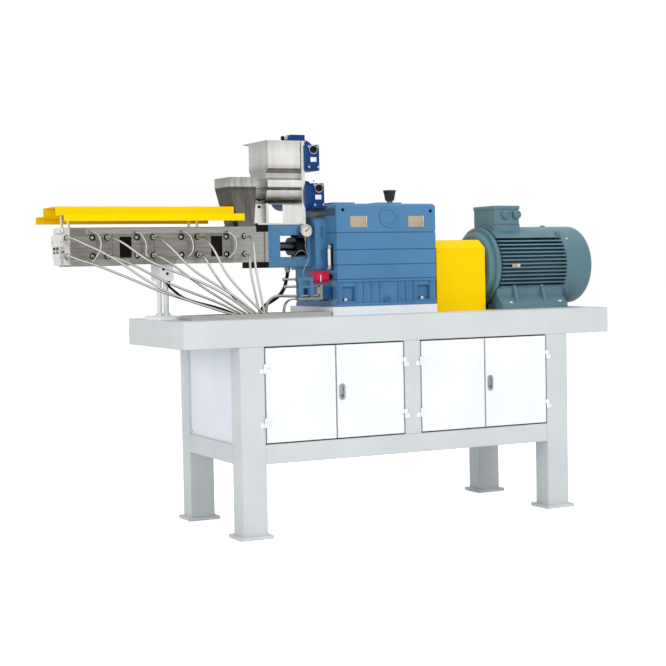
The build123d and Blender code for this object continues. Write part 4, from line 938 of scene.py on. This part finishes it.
# %% Gauge, its pipes and the filter
GAUGE = (545, edges_of("pressure_gauge")[0].y, 1054)
MARKS, FIRST_MARK, MARK_STEP, NEEDLE = 9, -120, 30, 48


def gauge_rim(work):
    outline = [(19.5, -1), (23.2, -1), (23.2, 1.6), (22, 2.6), (20.4, 2.2), (19.5, 0.6), (19.5, -1)]
    turned(work, GAUGE, "-y", outline, steps=36)


def gauge_dial(work):
    turned(work, GAUGE, "-y", [(0, -0.5), (19.8, -0.5), (19.8, 0.5), (0, 0.5)], steps=36)


def gauge_marks(work):
    x, y, z = GAUGE
    marks = []
    for step in range(MARKS):
        verts = plate(work, (x - 0.5, y - 0.9, z + 13.5), (x + 0.5, y - 0.4, z + 18), 0.1)
        marks.append((verts, FIRST_MARK + MARK_STEP * step))
    needle = plate(work, (x - 0.9, y - 1.4, z - 6), (x + 0.9, y - 0.9, z + 15), 0.1)
    marks.append((needle, NEEDLE))
    for verts, angle in marks:
        tilt = Matrix.Rotation(math.radians(angle), 3, "Y")
        bmesh.ops.rotate(work, cent=at(x, y, z), matrix=tilt, verts=verts)
    turned(work, (x, y - 0.9, z), "-y", [(0, 0), (2.4, 0), (2.4, 1.2), (0, 1.2)])


def gauge_stem(work):
    x, y, z = GAUGE
    hexagon(work, (x, y + 10, z - 22), "-z", 10, 6)
    turned(work, (x, y + 10, z - 28), "-z", [(0, 0), (4.6, 0), (4.6, 4), (3, 7), (0, 7)])


def block_nut(work):
    hexagon(work, (516, -125, 888), "z", 12, 6)
    turned(work, (516, -125, 894), "z", [(0, 0), (4.5, 0), (4, 5), (2, 7), (0, 7)])


def filter_nipple(work):
    outline = [(0, 0), (10, 0), (11, 1), (11, 8), (9, 9), (9, 15), (0, 15)]
    turned(work, (611.5, -125, 888), "x", outline)


def pump_shell(work):
    plate(work, (585.4, -137.8, 806.6), (626.8, -112.2, 853.6), 2)


def filter_mark(work):
    plate(work, (573, -148, 871), (576, -146.2, 894), 0.2)


small_parts("gauge_rim", chrome, gauge_rim)
small_parts("gauge_dial", dial_cream, gauge_dial)
small_parts("gauge_marks", black_plastic, gauge_marks)
small_parts("gauge_stem", brass, gauge_stem)
small_parts("block_nut", enamel_blue, block_nut)
small_parts("filter_nipple", black_plastic, filter_nipple)
small_parts("filter_mark", plate_white, filter_mark)
# The pump's shell is blue with painted shade.
small_parts("pump_shell", pump_shaded_blue, pump_shell)

PIPE_WIRE = 3
gauge_pipe = [(545, -88.5, 1022), (545, -89, 1008), (541, -93, 992), (546, -99, 976), (551, -104, 962),
              (545, -108, 946), (532, -114, 930), (520, -122, 916), (516, -125, 900)]
side_pipe = [(497, -73, 951), (504, -84, 966), (514, -89, 980), (526, -91, 985), (539, -92, 980),
             (548, -92, 970), (552, -88, 960), (553, -74, 955)]
for name, route in {"gauge_pipe": gauge_pipe, "side_pipe": side_pipe}.items():
    made = thicken(smooth_line(name, route), PIPE_WIRE, pipe_steel, name)
print("pipes bent")

# %% [markdown]
# The big motor has two conduit glands on its terminal box, a grease nipple with a red cap on
# its shield, a small blank plate on the fins and bright screws round the fan cover. The
# yellow guard and the end panel are held by small screws at their corners.

# %% Motor, guard and panel fasteners
BOX_FRONT = -76
MOTOR_AXIS = 914
COVER_RADIUS = 151
COVER_SCREWS = (48.5, 131.5, 228.5, 311.5)
NIPPLE = (1297, -13, 1034)


def glands(work):
    hub = [(0, 0), (18, 0), (18, 5), (16, 6), (16, 14), (13.5, 17)]
    recess = [(11, 17), (10.5, 14), (6, 14), (5, 17), (0, 17)]
    for x in (1402, 1451):
        turned(work, (x, BOX_FRONT, 1110), "-y", hub + recess)


def grease_nipple(work):
    turned(work, NIPPLE, "z", [(0, 0), (4, 0), (4, 6), (2.5, 7), (2.5, 14), (0, 14)])


def nipple_cap(work):
    x, y, z = NIPPLE
    turned(work, (x, y, z + 13), "z", [(0, 0), (4.4, 0), (4.6, 4), (3.2, 6.5), (0, 7)])


def fin_plate(work):
    plate(work, (1382, -152.6, 907), (1406, -151, 921), 0.2)


def fin_plate_end(work):
    plate(work, (1406, -153, 907), (1418, -151, 921), 0.3)


def cover_screws(work):
    for angle in COVER_SCREWS:
        tilt = math.radians(angle)
        y, z = -COVER_RADIUS * math.sin(tilt), MOTOR_AXIS + COVER_RADIUS * math.cos(tilt)
        known = set(work.verts)
        socket_screw(work, (1659, 0, 0), "z", 5.5, 3)
        fresh = [v for v in work.verts if v not in known]
        spot = Matrix.Translation((0, y * MM, z * MM)) @ Matrix.Rotation(tilt, 4, "X")
        bmesh.ops.transform(work, matrix=spot, verts=fresh)


def cover_clips(work):
    for z in (1036, 800):
        plate(work, (1622, -104, z - 7), (1637, -88, z + 7), 1.5)
    turned(work, (1625, 0, 1064), "z", [(0, 0), (11, 0), (11, 3), (6, 6), (0, 6)])


def guard_screws(work):
    for x in (1071, 1263):
        for z in (759, 972):
            socket_screw(work, (x, -130, z), "-y", 3, 1.4)
            socket_screw(work, (x, 130, z), "y", 3, 1.4)


def panel_screws(work):
    left = edges_of("side_panels")[0].x
    for y in (-192, 192):
        for z in (334, 643):
            socket_screw(work, (left, y, z), "-x", 3.4, 1.6)


small_parts("terminal_glands", enamel_teal, glands)
small_parts("grease_nipple", brass, grease_nipple)
small_parts("nipple_cap", cap_red, nipple_cap)
small_parts("fin_plate", plate_tan, fin_plate)
small_parts("fin_plate_end", bright_steel, fin_plate_end)
small_parts("cover_screws", bright_steel, cover_screws)
small_parts("cover_clips", enamel_teal, cover_clips)
small_parts("guard_screws", enamel_yellow, guard_screws)
small_parts("panel_screws", chrome, panel_screws)

# %% [markdown]
# Each latch has a dark disc and slot low in its lever: the keyhole, as painted shade. It rides
# on its own door, so that it swings with the leaf.

# %% Keyholes
LEVER_FRONT = -280
KEY_TOP, KEY_LOW = 475, 467


def keyhole_at(middle):
    """A recipe for the keyhole at one place along the bench."""

    def keyhole(work):
        # The dark disc and slot are the keyhole's painted shade.
        turned(work, (middle, LEVER_FRONT, KEY_TOP), "-y", [(0, 0), (2.8, 0), (2.8, 0.7), (0, 0.7)])
        low = (middle - 1.2, LEVER_FRONT - 0.7, KEY_LOW)
        plate(work, low, (middle + 1.2, LEVER_FRONT, KEY_TOP), 0.1)

    return keyhole


for leaf, node in (("door_leaf_2", "latch_left"), ("door_leaf_4", "latch_right")):
    low, high = edges_of(node)
    recipe = keyhole_at((low.x + high.x) / 2)
    small_parts(node + "_keyhole", oiled_iron, recipe, leaf)

# %% [markdown]
# The photograph's studio is plain and bright: a white floor that runs up into a white
# background. The floor glows a little for the camera alone, so that it meets the background
# without a line, and still keeps the machine's soft shadow.

# %% Floor
FLOOR_HALF = 30
FLOOR_LIFT = 0.58
floor_mesh = bpy.data.meshes.new("studio_floor")
sheet = bmesh.new()
bmesh.ops.create_grid(sheet, x_segments=1, y_segments=1, size=FLOOR_HALF)
sheet.to_mesh(floor_mesh)
sheet.free()
floor = bpy.data.objects.new("studio_floor", floor_mesh)
scene.collection.objects.link(floor)
floor_finish, floor_shader = surface("studio_floor_white", "#FFFFFF", 0.9, Specular_IOR_Level=0.0)
floor_mesh.materials.append(floor_finish)
tree = floor_finish.node_tree
path = add(tree, "ShaderNodeLightPath")
tree.links.new(path.outputs["Is Camera Ray"], floor_shader.inputs["Emission Strength"])
floor_shader.inputs["Emission Color"].default_value = (FLOOR_LIFT, FLOOR_LIFT, FLOOR_LIFT, 1)
print("floor laid")

# %% [markdown]
# The world shows white to the camera and to reflections, while it lights the paint at a level
# that keeps its colour.

# %% World
AMBIENT = 0.5
world = bpy.data.worlds.new("studio")
scene.world = world
world.use_nodes = True
tree = world.node_tree
background = tree.nodes["Background"]
background.inputs["Color"].default_value = (1, 1, 1, 1)
path = add(tree, "ShaderNodeLightPath")
rays = [path.outputs[name] for name in ("Is Camera Ray", "Is Glossy Ray", "Is Transmission Ray")]
seen = add(tree, "ShaderNodeMath", {"operation": "MAXIMUM"}, {0: rays[0], 1: rays[1]})
also = add(tree, "ShaderNodeMath", {"operation": "MAXIMUM"}, {0: seen.outputs[0], 1: rays[2]})
strength = add(tree, "ShaderNodeMapRange", links={"Value": also.outputs[0]}, To_Min=AMBIENT, To_Max=1.0)
tree.links.new(strength.outputs["Result"], background.inputs["Strength"])
print("world ready")

# %% [markdown]
# Three large lamps light the machine from the front, from above and from the left. They don't
# show in reflections, so bright metal mirrors only the white room.

# %% Lamps


def lamp(name, place, target, size, power):
    """A large soft lamp aimed at a point, with places in metres. Metal doesn't mirror it."""
    data = bpy.data.lights.new(name, "AREA")
    data.shape = "RECTANGLE"
    data.size, data.size_y = size
    data.energy = power
    made = bpy.data.objects.new(name, data)
    made.location = place
    made.rotation_euler = (Vector(target) - Vector(place)).to_track_quat("-Z", "Y").to_euler()
    made.visible_glossy = False
    scene.collection.objects.link(made)


lamp("front_softbox", (0.6, -4.2, 2.6), (0, 0, 0.8), (3.0, 2.0), 80)
lamp("top_softbox", (0, 0.2, 3.6), (0, 0, 0.8), (3.2, 2.0), 40)
lamp("left_fill", (-3.6, -1.2, 1.6), (0, 0, 0.9), (1.6, 1.6), 37)
scene.view_settings.view_transform = "Standard"
print("studio ready")
